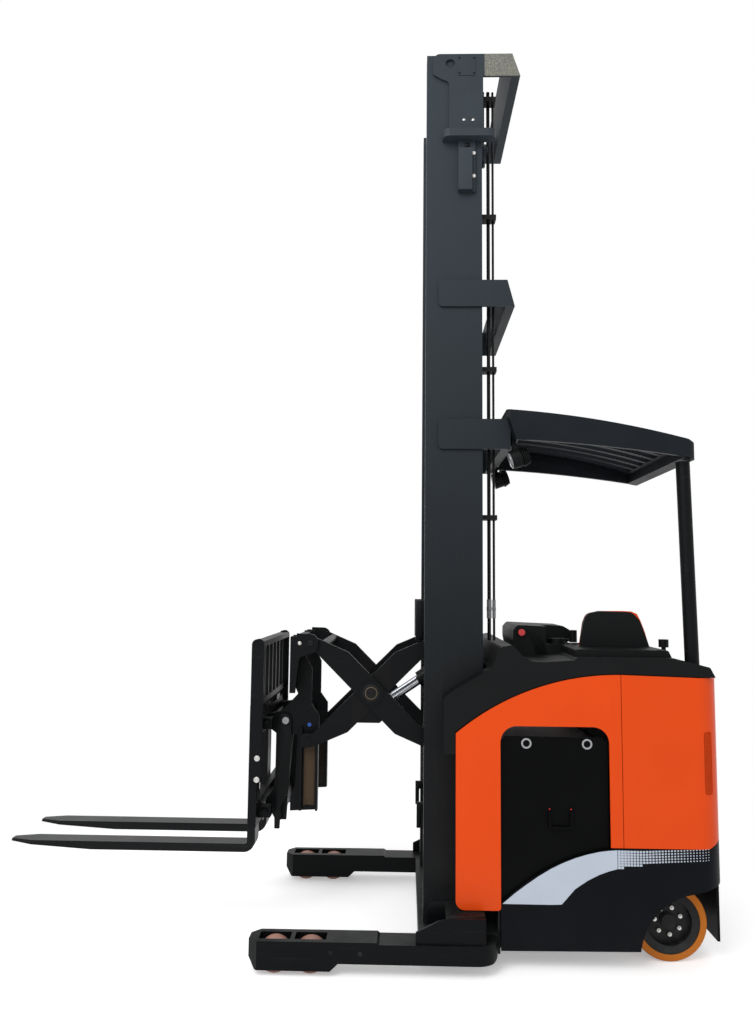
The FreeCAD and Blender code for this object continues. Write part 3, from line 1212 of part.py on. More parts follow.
def load_backrest():
    """Open backrest of upright slats with rounded tops on its side plates."""
    back = FORK_FACE + S.fork_thick
    side = slab("backrest_side", "XZ", [
        (back, S.rest_low), (back, S.rest_top, 26), (back + S.rest_deep, S.rest_top + 14, 26),
        (back + S.rest_deep, S.rest_low),
    ], -S.rest_half, -S.rest_half + 16)
    parts = [side, flipped("backrest_side_far", side)]
    parts.append(block("backrest_top", back + 6, back + S.rest_deep, -S.rest_half + 10, S.rest_half - 10,
                       S.rest_top - 30, S.rest_top - 4))
    parts.append(block("backrest_low", back + 8, back + 36, -S.rest_half + 10, S.rest_half - 10, 1118, 1146))
    piece("load_backrest", join("load_backrest_body", parts))
    slats = doc.addObject("Part::Compound", "load_backrest_slats")
    slats.Links = [block("backrest_slat_%d" % i, back + 12, back + 34, y - 13, y + 13, 1146, S.rest_top - 30)
                   for i, y in enumerate(range(-339, 340, 113))]
    return piece("load_backrest_slats", slats)


def forks():
    """Two L-shaped forks hung on the carriage bars."""
    back = FORK_FACE + S.fork_thick
    low = S.fork_top - S.fork_thick
    seat = S.seat_gap
    form = slab("fork_profile", "XZ", [
        (FORK_TIP, S.fork_top - 14), (FORK_TIP + 420, low), (back, low, 55), (back, S.bar_low - 20),
        (back + S.bar_thick, S.bar_low - 20), (back + S.bar_thick, S.bar_low - seat), (back - seat, S.bar_low - seat),
        (back - seat, S.bar_top + seat), (back + S.bar_thick + 6, S.bar_top + seat), (back + S.bar_thick + 6, 1112),
        (FORK_FACE, 1112, 16), (FORK_FACE, S.fork_top, 12), (FORK_TIP + 8, S.fork_top),
    ], -S.fork_off - S.fork_wide / 2, -S.fork_off + S.fork_wide / 2)
    plan = slab("fork_plan", "XY", [
        (FORK_TIP, -S.fork_off - 16, 14), (FORK_TIP + 120, -S.fork_off - S.fork_wide / 2 - 1),
        (-400, -S.fork_off - S.fork_wide / 2 - 1), (-400, -S.fork_off + S.fork_wide / 2 + 1),
        (FORK_TIP + 120, -S.fork_off + S.fork_wide / 2 + 1), (FORK_TIP, -S.fork_off + 16, 14),
    ], 300, 1200)
    near = doc.addObject("Part::Common", "fork_form")
    near.Base = form
    near.Tool = plan
    return pair("fork", near)


# Drive and caster

def drive():
    """Steered drive unit with its gear case, and the dished wheel with its tyre."""
    inner = S.drive_face + S.drive_wide
    case = slab("gear_case", "XZ", [
        (S.drive_x - 78, S.drive_r - 60, 55), (S.drive_x + 78, S.drive_r - 60, 55), (S.drive_x + 78, 300),
        (S.drive_x + 70, 405), (S.drive_x - 70, 405), (S.drive_x - 78, 300),
    ], inner + 6, inner + 62)
    deck_top = S.deck_low + S.deck_thick
    ring = rod("drive_ring", "Z", 122, S.drive_x, S.drive_y, 396, S.deck_low - 396 - S.seat_gap)
    flange = rod("drive_flange", "Z", 112, S.drive_x, S.drive_y, deck_top + S.seat_gap, 14)
    neck = rod("drive_neck", "Z", 96, S.drive_x, S.drive_y, 400, 200)
    motor = rod("drive_motor", "Z", 104, S.drive_x, S.drive_y, 460, 330)
    stub = rod("drive_stub", "Y", 44, S.drive_x, inner - 30, S.drive_r, 50)
    piece("drive_unit", join("drive_unit_body", [case, ring, flange, neck, motor, stub]))

    face = S.drive_face
    rim_r = S.drive_r - 32
    rim = rod("rim_solid", "Y", rim_r, S.drive_x, face + 4, S.drive_r, S.drive_wide - 8)
    dish = rod("rim_dish", "Y", 104, S.drive_x, face - 5, S.drive_r, 40)
    hub = rod("rim_hub", "Y", 32, S.drive_x, face + 14, S.drive_r, 24)
    back_dish = rod("rim_back", "Y", 110, S.drive_x, inner - 24, S.drive_r, 40)
    bore = rod("rim_bore", "Y", 44 + S.run_gap, S.drive_x, inner - 32, S.drive_r, 40)
    rim_cut = carve("rim_cut", rim, [dish, back_dish, bore])
    piece("drive_rim", join("rim_body", [rim_cut, hub]))
    tyre = rod("tyre_solid", "Y", S.drive_r, S.drive_x, face, S.drive_r, S.drive_wide)
    rounded = doc.addObject("Part::Fillet", "tyre_round")
    rounded.Base = tyre
    doc.recompute()
    rounded.Edges = [(i + 1, 9.0, 9.0) for i, e in enumerate(tyre.Shape.Edges)
                     if e.Curve.TypeId == "Part::GeomCircle"]
    hole = rod("tyre_hole", "Y", rim_r, S.drive_x, face - 5, S.drive_r, S.drive_wide + 10)
    piece("drive_tyre", carve("tyre_cut", rounded, [hole]))


def caster():
    """Swivelling caster with two wheels under the operator's floor."""
    top = S.floor_top - 12
    axle_x = S.caster_x + S.caster_trail
    plate = rod("caster_plate", "Z", 62, S.caster_x, S.caster_y, top - 45, 45 - S.seat_gap)
    web = slab("caster_web", "XZ", [
        (S.caster_x - 50, top - 40), (axle_x - 26, S.caster_r - 24, 20), (axle_x + 26, S.caster_r - 24, 20),
        (S.caster_x + 58, top - 40),
    ], S.caster_y - 12, S.caster_y + 12)
    axle = rod("caster_axle", "Y", 12, axle_x, S.caster_y - 64, S.caster_r, 128)
    piece("caster_fork", join("caster_fork_body", [plate, web, axle]))
    wheels = []
    for name, y0 in (("in", S.caster_y - 62), ("out", S.caster_y + 17)):
        tread = rod("caster_tread_" + name, "Y", S.caster_r, axle_x, y0, S.caster_r, 45)
        bore = rod("caster_bore_" + name, "Y", 12 + S.run_gap, axle_x, y0 - 5, S.caster_r, 55)
        wheels.append(carve("caster_wheel_" + name, tread, [bore]))
    group = doc.addObject("Part::Compound", "caster_wheels")
    group.Links = wheels
    return piece("caster_wheels", group)


chassis()
leg()
load_wheels()
front_panels()
rear_panel_near()
rear_panel_far()
skirt()
gates()
battery()
cover_solid = top_cover()
backrest()
controls(cover_solid)
guard()
mast_outer()
mast_stages()
mast_lines()
lift_carriage()
scissor_arms()
reach_cylinders()
reach_frame()
tilt_frame()
fork_carriage()
load_backrest()
forks()
drive()
caster()
doc.recompute()

faults = []
for thing in doc.Objects:
    if "Invalid" in thing.State or "Error" in thing.State:
        faults.append("%s: %s" % (thing.Name, thing.State))
for thing in PIECES:
    if thing.Shape.isNull() or not thing.Shape.isValid():
        faults.append("%s has no valid shape" % thing.Label)
if faults:
    raise RuntimeError("; ".join(faults))

os.makedirs("parts", exist_ok=True)
for thing in PIECES:
    thing.Shape.exportStep("parts/%s.step" % thing.Label)
    box = thing.Shape.BoundBox
    print("%-24s %2d solids %8.0f %8.0f | %7.0f %7.0f | %6.0f %6.0f" % (
        thing.Label, len(thing.Shape.Solids), box.XMin, box.XMax, box.YMin, box.YMax, box.ZMin, box.ZMax))
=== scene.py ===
import math

import bpy
from mathutils import Matrix, Vector


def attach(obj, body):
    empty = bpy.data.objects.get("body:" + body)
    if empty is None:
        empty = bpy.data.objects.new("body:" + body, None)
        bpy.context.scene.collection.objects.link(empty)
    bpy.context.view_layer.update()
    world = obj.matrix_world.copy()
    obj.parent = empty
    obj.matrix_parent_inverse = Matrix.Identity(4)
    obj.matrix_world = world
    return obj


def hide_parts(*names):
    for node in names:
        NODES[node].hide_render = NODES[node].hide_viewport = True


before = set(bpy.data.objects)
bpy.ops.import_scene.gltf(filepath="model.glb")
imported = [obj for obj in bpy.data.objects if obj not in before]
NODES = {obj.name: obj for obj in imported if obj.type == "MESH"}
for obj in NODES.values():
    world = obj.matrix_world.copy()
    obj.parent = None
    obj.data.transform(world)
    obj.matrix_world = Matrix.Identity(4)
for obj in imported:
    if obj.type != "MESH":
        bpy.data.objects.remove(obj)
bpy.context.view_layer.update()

bl_info = {
    "name": "Stand-on reach truck",
    "version": (1, 0, 0),
    "blender": (4, 5, 0),
    "location": "3D View > Sidebar > Reach truck",
    "description": "Finishes, fittings and studio for a stand-on reach truck",
    "category": "Object",
}

LEG_SIDE = 0.6356
SKIRT_SIDE = 0.535
SKIRT_CORNER = (1.5985, 0.120)


# Sizes and colours

def colour(label, value, text):
    """A colour that a user can change."""
    return bpy.props.FloatVectorProperty(
        name=label, description=text, default=value, size=3, min=0.0, max=1.0, subtype="COLOR")


def number(label, value, text, unit="NONE"):
    """A number that a user can change."""
    return bpy.props.FloatProperty(name=label, description=text, default=value, min=0.0, unit=unit)


def length(label, value, text):
    """A length in metres that a user can change."""
    return number(label, value, text, "LENGTH")


class TruckColours(bpy.types.PropertyGroup):
    """Colours of the truck's finishes."""
    orange: colour("Orange", (0.660, 0.057, 0.0012), "Gloss paint of the side panels")
    frame_black: colour("Frame black", (0.0030, 0.0036, 0.0042), "Satin paint of the frame and forks")
    mast_grey: colour("Mast grey", (0.0064, 0.0072, 0.0080), "Charcoal paint of the mast")
    cover_black: colour("Cover black", (0.0040, 0.0046, 0.0050), "Moulded covers")
    amber: colour("Amber", (0.460, 0.135, 0.012), "Polyurethane of the drive wheel")
    load_brown: colour("Load wheel brown", (0.42, 0.215, 0.165), "Polyurethane of the load wheels")
    stripe: colour("Stripe", (0.44, 0.49, 0.57), "Pale stripe on the skirt")
    grease: colour("Grease", (0.085, 0.055, 0.032), "Grease in the roller channels")
    stop_red: colour("Stop red", (0.62, 0.012, 0.012), "Emergency stop button")


class TruckSizes(bpy.types.PropertyGroup):
    """Sizes of the fittings that are added to the frame."""
    stripe_thick: length("Stripe thickness", 0.0008, "Thickness of the stripe film")
    dot_pitch: length("Dot pitch", 0.0139, "Distance between the stripe's dots")
    dot_high: length("Dot rows", 0.0117, "Distance between the stripe's rows of dots")
    rib_pitch: length("Mat rib pitch", 0.022, "Distance between the floor mat's ribs")


class TruckStage(bpy.types.PropertyGroup):
    """Sizes of the studio."""
    floor: length("Floor", 60.0, "Side of the studio floor")
    lamp: number("Lamp", 260.0, "Power of the soft key lamp in watts")
    ambient: number("Ambient", 0.82, "Strength of the studio's plain light")
    lens: number("Lens", 27.815, "Focal length of the camera", "CAMERA")


# Modelling helpers

TURNS = {
    "Y": (-math.pi / 2, 0.0, 0.0),
    "-Y": (math.pi / 2, 0.0, 0.0),
    "Z": (0.0, 0.0, 0.0),
    "lamp": (0.0, -math.radians(110), 0.0),
}


def clear():
    """Nothing selected, in object mode."""
    if bpy.context.object and bpy.context.object.mode != "OBJECT":
        bpy.ops.object.mode_set(mode="OBJECT")
    bpy.ops.object.select_all(action="DESELECT")


def only(obj):
    """This object alone selected and active."""
    clear()
    obj.select_set(True)
    bpy.context.view_layer.objects.active = obj


def settle():
    """Move the place of the selected object into its mesh."""
    bpy.ops.object.transform_apply(location=True, rotation=True, scale=True)


def modify(kind, **values):
    """Add a modifier to the active object and apply it."""
    bpy.ops.object.modifier_add(type=kind)
    modifier = bpy.context.object.modifiers[-1]
    for key, value in values.items():
        setattr(modifier, key, value)
    bpy.ops.object.modifier_apply(modifier=modifier.name)


def soften(width, segments=2, angle=0.6):
    """Round the active object's edges."""
    modify("BEVEL", width=width, segments=segments, limit_method="ANGLE", angle_limit=angle)
    bpy.ops.object.shade_smooth_by_angle(angle=math.radians(35))


def pick_faces(obj, test):
    """Select the faces that pass a test, and go into edit mode."""
    bpy.ops.object.mode_set(mode="EDIT")
    bpy.ops.mesh.select_mode(type="FACE")
    bpy.ops.mesh.select_all(action="DESELECT")
    bpy.ops.object.mode_set(mode="OBJECT")
    for face in obj.data.polygons:
        face.select = test(face)
    bpy.ops.object.mode_set(mode="EDIT")


def slab(low, high, edge=0.0015):
    """A block with rounded edges between two corners."""
    clear()
    size = [h - l for l, h in zip(low, high)]
    middle = [(h + l) / 2 for l, h in zip(low, high)]
    bpy.ops.mesh.primitive_cube_add(size=1, location=middle, scale=size)
    settle()
    if edge:
        soften(min(edge, min(size) * 0.3))
    return bpy.context.object


def plate(points, low, high, edge=0.001, plane="XZ"):
    """A flat plate with an outline of corners, drawn out between two depths."""
    clear()
    bpy.ops.mesh.primitive_circle_add(vertices=len(points), radius=1, fill_type="NGON")
    obj = bpy.context.object
    for vertex, (a, b) in zip(obj.data.vertices, points):
        vertex.co = (a, low, b) if plane == "XZ" else (low, a, b)
    pick_faces(obj, lambda face: True)
    push = (0, high - low, 0) if plane == "XZ" else (high - low, 0, 0)
    bpy.ops.mesh.extrude_region_move(TRANSFORM_OT_translate={"value": push})
    outwards()
    soften(edge)
    return obj


def outwards():
    """Turn every face of the active object outwards and leave edit mode."""
    if bpy.context.object.mode != "EDIT":
        bpy.ops.object.mode_set(mode="EDIT")
    bpy.ops.mesh.select_all(action="SELECT")
    bpy.ops.mesh.normals_make_consistent(inside=False)
    bpy.ops.object.mode_set(mode="OBJECT")


def mirrored(obj):
    """The piece joined with its twin on the far side."""
    only(obj)
    bpy.ops.object.duplicate()
    twin = bpy.context.object
    twin.scale = (1, -1, 1)
    settle()
    outwards()
    return together([obj, twin])


def row(count, step):
    """Repeat the active object along a step."""
    modify("ARRAY", count=count, use_relative_offset=False, use_constant_offset=True, constant_offset_displace=step)


def turned(radius, depth, steps, sides=32, edge=0.0):
    """An upright round or many sided piece whose end is inset and pushed in steps."""
    clear()
    bpy.ops.mesh.primitive_cylinder_add(vertices=sides, radius=radius, depth=depth, location=(0, 0, depth / 2))
    settle()
    obj = bpy.context.object
    pick_faces(obj, lambda face: face.normal.z > 0.9)
    for inset, push in steps:
        if inset:
            bpy.ops.mesh.inset(thickness=inset, use_even_offset=True)
        if push:
            bpy.ops.mesh.extrude_region_move(TRANSFORM_OT_translate={"value": (0, 0, push)})
    bpy.ops.object.mode_set(mode="OBJECT")
    if edge:
        soften(edge)
    else:
        bpy.ops.object.shade_smooth_by_angle(angle=math.radians(35))
    return obj


def aim(obj, at, way):
    """Turn an upright piece along an axis, put it in place and settle it."""
    only(obj)
    obj.rotation_euler = TURNS[way]
    obj.location = at
    settle()
    return obj


def stamp(master, place=(0, 0, 0), turn=0.0, scale=(1, 1, 1)):
    """A copy of a piece, sized, turned about Z and put in place."""
    only(master)
    bpy.ops.object.duplicate()
    twin = bpy.context.object
    twin.scale = scale
    twin.rotation_euler = (0, 0, turn)
    twin.location = place
    settle()
    return twin


def gathered(master, made):
    """The copies joined into one; the master goes."""
    only(master)
    bpy.ops.object.delete()
    return together(made)


def copies(master, spots, spin=0.0):
    """Copies of an upright piece at each (x, y, z, axis), joined."""
    made = []
    for index, (x, y, z, way) in enumerate(spots):
        made.append(aim(stamp(master, turn=spin * index), (x, y, z), way))
    return gathered(master, made)


def together(objs):
    """Several objects joined into one."""
    clear()
    for obj in objs:
        obj.select_set(True)
    bpy.context.view_layer.objects.active = objs[0]
    if len(objs) > 1:
        bpy.ops.object.join()
    return bpy.context.object


def finished(obj, name, body, material):
    """Name a piece, give it its material and let it ride on its body."""
    obj.name = name
    obj.data.name = name
    obj.data.materials.clear()
    obj.data.materials.append(MATERIALS[material])
    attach(obj, body)
    return obj


def both(side, places):
    """Each (x, z) on the near and the far face that lies this far from the middle."""
    return [(x, y, z, way) for way, y in (("-Y", -side), ("Y", side)) for x, z in places]


# Materials

MATERIALS = {}
GROUPS = {}


def new_group(name, inputs, outputs):
    """An empty shader node group: inputs with their values, the place first, and number outputs."""
    group = bpy.data.node_groups.new(name, "ShaderNodeTree")
    group.interface.new_socket(name="Vector", in_out="INPUT", socket_type="NodeSocketVector")
    for label, value in inputs:
        kind = "NodeSocketFloat" if isinstance(value, float) else "NodeSocketVector"
        socket = group.interface.new_socket(name=label, in_out="INPUT", socket_type=kind)
        socket.default_value = value
    for label in outputs:
        group.interface.new_socket(name=label, in_out="OUTPUT", socket_type="NodeSocketFloat")
    GROUPS[name] = group
    return group, group.nodes.new("NodeGroupInput"), group.nodes.new("NodeGroupOutput")


def node(tree, kind, links=None, **values):
    """A node with values set and sockets linked."""
    made = tree.nodes.new(kind)
    for key, value in values.items():
        if key.startswith("in_"):
            index = key[3:]
            made.inputs[int(index) if index.isdigit() else index].default_value = value
        else:
            setattr(made, key, value)
    for socket, source in (links or {}).items():
        tree.links.new(source, made.inputs[socket])
    return made


def feed(tree, socket, value):
    """Link a source to a socket, or set its value."""
    if isinstance(value, bpy.types.NodeSocket):
        tree.links.new(value, socket)
    else:
        socket.default_value = value


def calc(tree, operation, first, second=0.0, clamp=False):
    """A sum of two values or sockets."""
    made = node(tree, "ShaderNodeMath", operation=operation, use_clamp=clamp)
    feed(tree, made.inputs[0], first)
    feed(tree, made.inputs[1], second)
    return made.outputs[0]


def vectors(tree, operation, *values):
    """A sum of vectors."""
    made = node(tree, "ShaderNodeVectorMath", dict(enumerate(values)), operation=operation)
    return made.outputs["Vector"]


def noise(tree, place, scale, detail=2.0, rough=0.5):
    """Cloudy noise between 0 and 1."""
    made = node(tree, "ShaderNodeTexNoise", {"Vector": place}, in_Detail=detail, in_Roughness=rough)
    feed(tree, made.inputs["Scale"], scale)
    return made.outputs["Fac"]


def ranged(tree, value, low, high, start=0.0, end=1.0):
    """Map start..end to low..high."""
    made = node(tree, "ShaderNodeMapRange", {"Value": value})
    for label, number in (("From Min", start), ("From Max", end), ("To Min", low), ("To Max", high)):
        made.inputs[label].default_value = number
    return made.outputs["Result"]


def split(tree, vector):
    """The three parts of a vector."""
    return node(tree, "ShaderNodeSeparateXYZ", {"Vector": vector}).outputs


def build_groups():
    """Effects that several materials share."""
    # Fine grain for bump, with slow tone changes over the surface
    tree, start, end = new_group("Grain", [("Scale", 400.0), ("Tone scale", 3.0)], ["Height", "Tone"])
    place = start.outputs["Vector"]
    fine = noise(tree, place, start.outputs["Scale"], 2.0, 0.6)
    slow = noise(tree, place, start.outputs["Tone scale"], 5.0, 0.62)
    tree.links.new(fine, end.inputs["Height"])
    tree.links.new(ranged(tree, slow, 0.0, 1.0, 0.3, 0.7), end.inputs["Tone"])

    # Pale grey-green low on the truck as dust, and on upward faces as dust with a painted sheen
    tree, start, end = new_group("Dust and sheen", [("Reach", 0.5), ("Amount", 0.4)], ["Mask"])
    place = start.outputs["Vector"]
    height = calc(tree, "DIVIDE", split(tree, place)["Z"], start.outputs["Reach"])
    near_floor = calc(tree, "SUBTRACT", 1.0, height, True)
    normal = node(tree, "ShaderNodeNewGeometry").outputs["Normal"]
    # Upward faces get the pale grey-green too: partly dust, partly a painted sheen
    up = calc(tree, "MULTIPLY", split(tree, normal)["Z"], 0.35, True)
    low_and_upward = calc(tree, "ADD", near_floor, up, True)
    patches = ranged(tree, noise(tree, place, 9.0, 6.0, 0.7), 0.0, 1.0, 0.38, 0.72)
    masked = calc(tree, "MULTIPLY", low_and_upward, patches)
    tree.links.new(calc(tree, "MULTIPLY", masked, start.outputs["Amount"], True), end.inputs["Mask"])

    # Thin scratches along one direction
    tree, start, end = new_group("Scratches", [("Stretch", (3.0, 60.0, 60.0)), ("Amount", 0.5)], ["Mask"])
    pulled = vectors(tree, "MULTIPLY", start.outputs["Vector"], start.outputs["Stretch"])
    lines = ranged(tree, noise(tree, pulled, 1.0, 5.0, 0.75), 0.0, 1.0, 0.58, 0.74)
    tree.links.new(calc(tree, "MULTIPLY", lines, start.outputs["Amount"], True), end.inputs["Mask"])

    # One inside a box given by its middle and half sizes, fading at the sides, on both sides of Y = 0
    tree, start, end = new_group("Zone", [("Middle", (0.0, 0.0, 0.0)), ("Half", (1.0, 1.0, 1.0))], ["Mask"])
    parts = split(tree, start.outputs["Vector"])
    side = calc(tree, "ABSOLUTE", parts["Y"])
    folded = node(tree, "ShaderNodeCombineXYZ", {"X": parts["X"], "Y": side, "Z": parts["Z"]})
    away = vectors(tree, "SUBTRACT", folded.outputs["Vector"], start.outputs["Middle"])
    inside = split(tree, vectors(tree, "SUBTRACT", start.outputs["Half"], vectors(tree, "ABSOLUTE", away)))
    least = calc(tree, "MINIMUM", calc(tree, "MINIMUM", inside["X"], inside["Y"]), inside["Z"])
    tree.links.new(calc(tree, "MULTIPLY", least, 180.0, True), end.inputs["Mask"])


def shader(name):
    """A material with its Principled shader and the object's own coordinates."""
    material = bpy.data.materials.new(name)
    material.use_nodes = True
    tree = material.node_tree
    MATERIALS[name] = material
    place = node(tree, "ShaderNodeTexCoord")
    return tree, tree.nodes["Principled BSDF"], place.outputs["Object"]


def grouped(tree, name, links=None, **values):
    """A shared effect placed in a material."""
    made = tree.nodes.new("ShaderNodeGroup")
    made.node_tree = GROUPS[name]
    for key, value in values.items():
        made.inputs[key.replace("_", " ")].default_value = value
    for socket, source in (links or {}).items():
        tree.links.new(source, made.inputs[socket])
    return made


def blended(tree, mask, first, second):
    """Mix two colours by a mask; each is a colour or a socket."""
    mix = node(tree, "ShaderNodeMix", data_type="RGBA")
    tree.links.new(mask, mix.inputs["Factor"])
    for index, value in ((6, first), (7, second)):
        if isinstance(value, bpy.types.NodeSocket):
            tree.links.new(value, mix.inputs[index])
        else:
            mix.inputs[index].default_value = (*value, 1.0)
    return mix.outputs[2]


def shade(rgb, factor):
    """A colour made darker or lighter."""
    return tuple(min(1.0, channel * factor) for channel in rgb)


# Pale grey-green of dust, which on upward faces is also a painted sheen
DUST_AND_SHEEN = (0.145, 0.165, 0.155)
BARE_STEEL = (0.16, 0.16, 0.155)
# Painted light: a lighter, bluer colour for the mast's top, and the heights in metres where the mast paint turns to
# it
MAST_PAINTED_LIGHT = ((0.027, 0.035, 0.043), 0.9, 4.1)


def painted(name, rgb, rough, specular, grain, depth, dust_and_sheen, scratch=0.0, coat=0.0, metallic=0.0, tone=0.82,
            reach=0.6, stretch=(3.0, 60.0, 60.0), zones=(), painted_light_top=None):
    """Paint, plastic or metal with grain, slow tone changes, dust with a painted sheen on upward faces, scratches and
    stained zones.

    The last argument is a lighter, bluer colour for the top, which is painted light, and the heights in metres where
    the change starts and ends.
    """
    tree, bsdf, place = shader(name)
    fine = grouped(tree, "Grain", {"Vector": place}, Scale=grain)
    base = blended(tree, fine.outputs["Tone"], shade(rgb, tone), shade(rgb, 2.0 - tone))
    roughness = ranged(tree, fine.outputs["Tone"], rough - 0.04, rough + 0.05)
    # Painted light: the colour turns lighter and bluer towards the top over the given heights
    if painted_light_top:
        top, start, end = painted_light_top
        base = blended(tree, ranged(tree, split(tree, place)["Z"], 0.0, 1.0, start, end), base, top)
    if scratch:
        marks = grouped(tree, "Scratches", {"Vector": place}, Amount=scratch, Stretch=stretch)
        base = blended(tree, marks.outputs["Mask"], base, BARE_STEEL)
    for middle, half, tint, amount in zones:
        zone = grouped(tree, "Zone", {"Vector": place}, Middle=middle, Half=half)
        streak = grouped(tree, "Scratches", {"Vector": place}, Amount=1.0, Stretch=(60.0, 60.0, 2.2))
        varied = blended(tree, streak.outputs["Mask"], tint, shade(tint, 0.35))
        base = blended(tree, calc(tree, "MULTIPLY", zone.outputs["Mask"], amount), base, varied)
    # Dust near the floor, and on upward faces a pale grey-green that is partly painted sheen
    if dust_and_sheen:
        dust_sheen_mask = grouped(tree, "Dust and sheen", {"Vector": place}, Reach=reach, Amount=dust_and_sheen)
        base = blended(tree, dust_sheen_mask.outputs["Mask"], base, DUST_AND_SHEEN)
        roughness = calc(tree, "ADD", roughness, calc(tree, "MULTIPLY", dust_sheen_mask.outputs["Mask"], 0.4), True)
    tree.links.new(base, bsdf.inputs["Base Color"])
    tree.links.new(roughness, bsdf.inputs["Roughness"])
    bump = node(tree, "ShaderNodeBump", {"Height": fine.outputs["Height"]}, in_Strength=depth)
    bump.inputs["Distance"].default_value = 0.001
    tree.links.new(bump.outputs["Normal"], bsdf.inputs["Normal"])
    bsdf.inputs["Specular IOR Level"].default_value = specular
    bsdf.inputs["Metallic"].default_value = metallic
    bsdf.inputs["Coat Weight"].default_value = coat
    bsdf.inputs["Coat Roughness"].default_value = 0.12
    return tree, bsdf, place


def build_materials(hues):
    """One material for each finish on the truck."""
    orange = tuple(hues.orange)
    black = tuple(hues.frame_black)
    mast = tuple(hues.mast_grey)
    cover = tuple(hues.cover_black)
    grease = tuple(hues.grease)
    # Columns: name, colour, roughness, specular, grain, depth of bump, dust with painted sheen on upward faces
    painted("panel_paint", orange, 0.34, 0.14, 700.0, 0.10, 0.10, tone=0.97, coat=0.06, reach=0.5)
    painted("frame_paint", black, 0.42, 0.10, 900.0, 0.22, 0.30, scratch=0.06)
    painted("leg_paint", black, 0.36, 0.08, 900.0, 0.22, 0.50, scratch=0.04, reach=0.02)
    painted("fork_paint", black, 0.34, 0.14, 900.0, 0.20, 0.60, scratch=0.10, reach=0.02,
            stretch=(1.2, 70.0, 70.0))
    painted("guard_paint", (0.0080, 0.0100, 0.0130), 0.42, 0.10, 900.0, 0.22, 0.06)
    # The mast paint turns lighter and bluer towards the top: painted light
    painted("mast_paint", mast, 0.44, 0.10, 900.0, 0.22, 0.06, scratch=0.03, stretch=(60.0, 60.0, 1.5),
            painted_light_top=MAST_PAINTED_LIGHT, zones=[((0.472, 0.356, 2.3), (0.075, 0.022, 2.1), grease, 0.35)])
    painted("reach_paint", black, 0.42, 0.10, 900.0, 0.22, 0.12, scratch=0.04,
            zones=[((-0.212, 0.238, 0.78), (0.030, 0.021, 0.16), grease, 0.7)])
    painted("arm_paint", black, 0.40, 0.10, 900.0, 0.22, 0.10, scratch=0.04,
            zones=[((0.096, 0.287, 1.184), (0.095, 0.006, 0.15), (0.05, 0.038, 0.03), 0.12)])
    painted("cover_plastic", cover, 0.50, 0.12, 1600.0, 0.35, 0.06)
    painted("skirt_plastic", (0.0035, 0.0043, 0.0058), 0.40, 0.06, 1400.0, 0.20, 0.02, reach=0.3)
    painted("gate_paint", (0.0022, 0.0024, 0.0026), 0.36, 0.04, 1100.0, 0.18, 0.02)
    painted("drive_tread", tuple(hues.amber), 0.42, 0.12, 500.0, 0.25, 0.08, tone=0.85, reach=0.25)
    painted("load_tread", tuple(hues.load_brown), 0.46, 0.35, 500.0, 0.30, 0.30, tone=0.80, reach=0.2)
    painted("rim_paint", (0.006, 0.006, 0.006), 0.38, 0.15, 900.0, 0.25, 0.20, scratch=0.05, reach=0.4)
    painted("bright_steel", (0.58, 0.57, 0.55), 0.30, 0.5, 1200.0, 0.15, 0.10, metallic=1.0, tone=0.86)
    painted("dark_steel", (0.085, 0.085, 0.085), 0.38, 0.5, 1200.0, 0.20, 0.20, metallic=1.0, tone=0.75)
    painted("chrome_rod", (0.30, 0.31, 0.33), 0.26, 0.5, 1500.0, 0.0, 0.0, metallic=1.0, tone=0.97)
    painted("hose_rubber", (0.005, 0.005, 0.005), 0.42, 0.15, 1500.0, 0.20, 0.10)
    painted("stop_plastic", tuple(hues.stop_red), 0.26, 0.5, 900.0, 0.05, 0.0, tone=0.95, coat=0.3)
    painted("mat_rubber", (0.008, 0.008, 0.008), 0.70, 0.10, 900.0, 0.5, 0.15)
    painted("battery_paint", (0.055, 0.062, 0.070), 0.50, 0.35, 700.0, 0.3, 0.35, scratch=0.15)
    painted("stripe_film", tuple(hues.stripe), 0.32, 0.15, 900.0, 0.06, 0.06, tone=0.97, reach=0.3)
    painted("pad_leather", (0.0050, 0.0054, 0.0058), 0.52, 0.14, 520.0, 0.60, 0.05)
    backrest_band(orange, cover)
    painted("red_dot", (0.60, 0.02, 0.015), 0.4, 0.3, 900.0, 0.05, 0.0, tone=0.95)
    # Darker oranges for the grille in the recess: painted shade, slight on the mesh and deep on the ground behind it
    painted("mesh_shaded_orange", shade(orange, 0.92), 0.45, 0.12, 700.0, 0.10, 0.0, tone=0.95)
    painted("grille_painted_shade", shade(orange, 0.42), 0.50, 0.10, 700.0, 0.10, 0.0, tone=0.95)
    painted("ring_bronze", (0.105, 0.080, 0.052), 0.40, 0.3, 900.0, 0.10, 0.0, tone=0.9)
    painted("sleeve_braid", (0.16, 0.165, 0.17), 0.42, 0.3, 1500.0, 0.30, 0.10, tone=0.7)
    painted("ring_grey", (0.30, 0.31, 0.32), 0.40, 0.3, 900.0, 0.10, 0.0, tone=0.9)
    painted("blue_seal", (0.010, 0.065, 0.36), 0.35, 0.45, 700.0, 0.10, 0.05, tone=0.9)
    lens_glass()
    grip_tape()


def backrest_band(orange, cover):
    """Black shell of the backrest with its orange edge band."""
    tree, bsdf, place = painted("backrest_band", cover, 0.48, 0.12, 900.0, 0.20, 0.04)
    paint = bsdf.inputs["Base Color"].links[0].from_socket
    zone = grouped(tree, "Zone", {"Vector": place}, Middle=(1.30, 0.223, 1.50), Half=(0.50, 0.0055, 0.50))
    tree.links.new(blended(tree, zone.outputs["Mask"], paint, orange), bsdf.inputs["Base Color"])


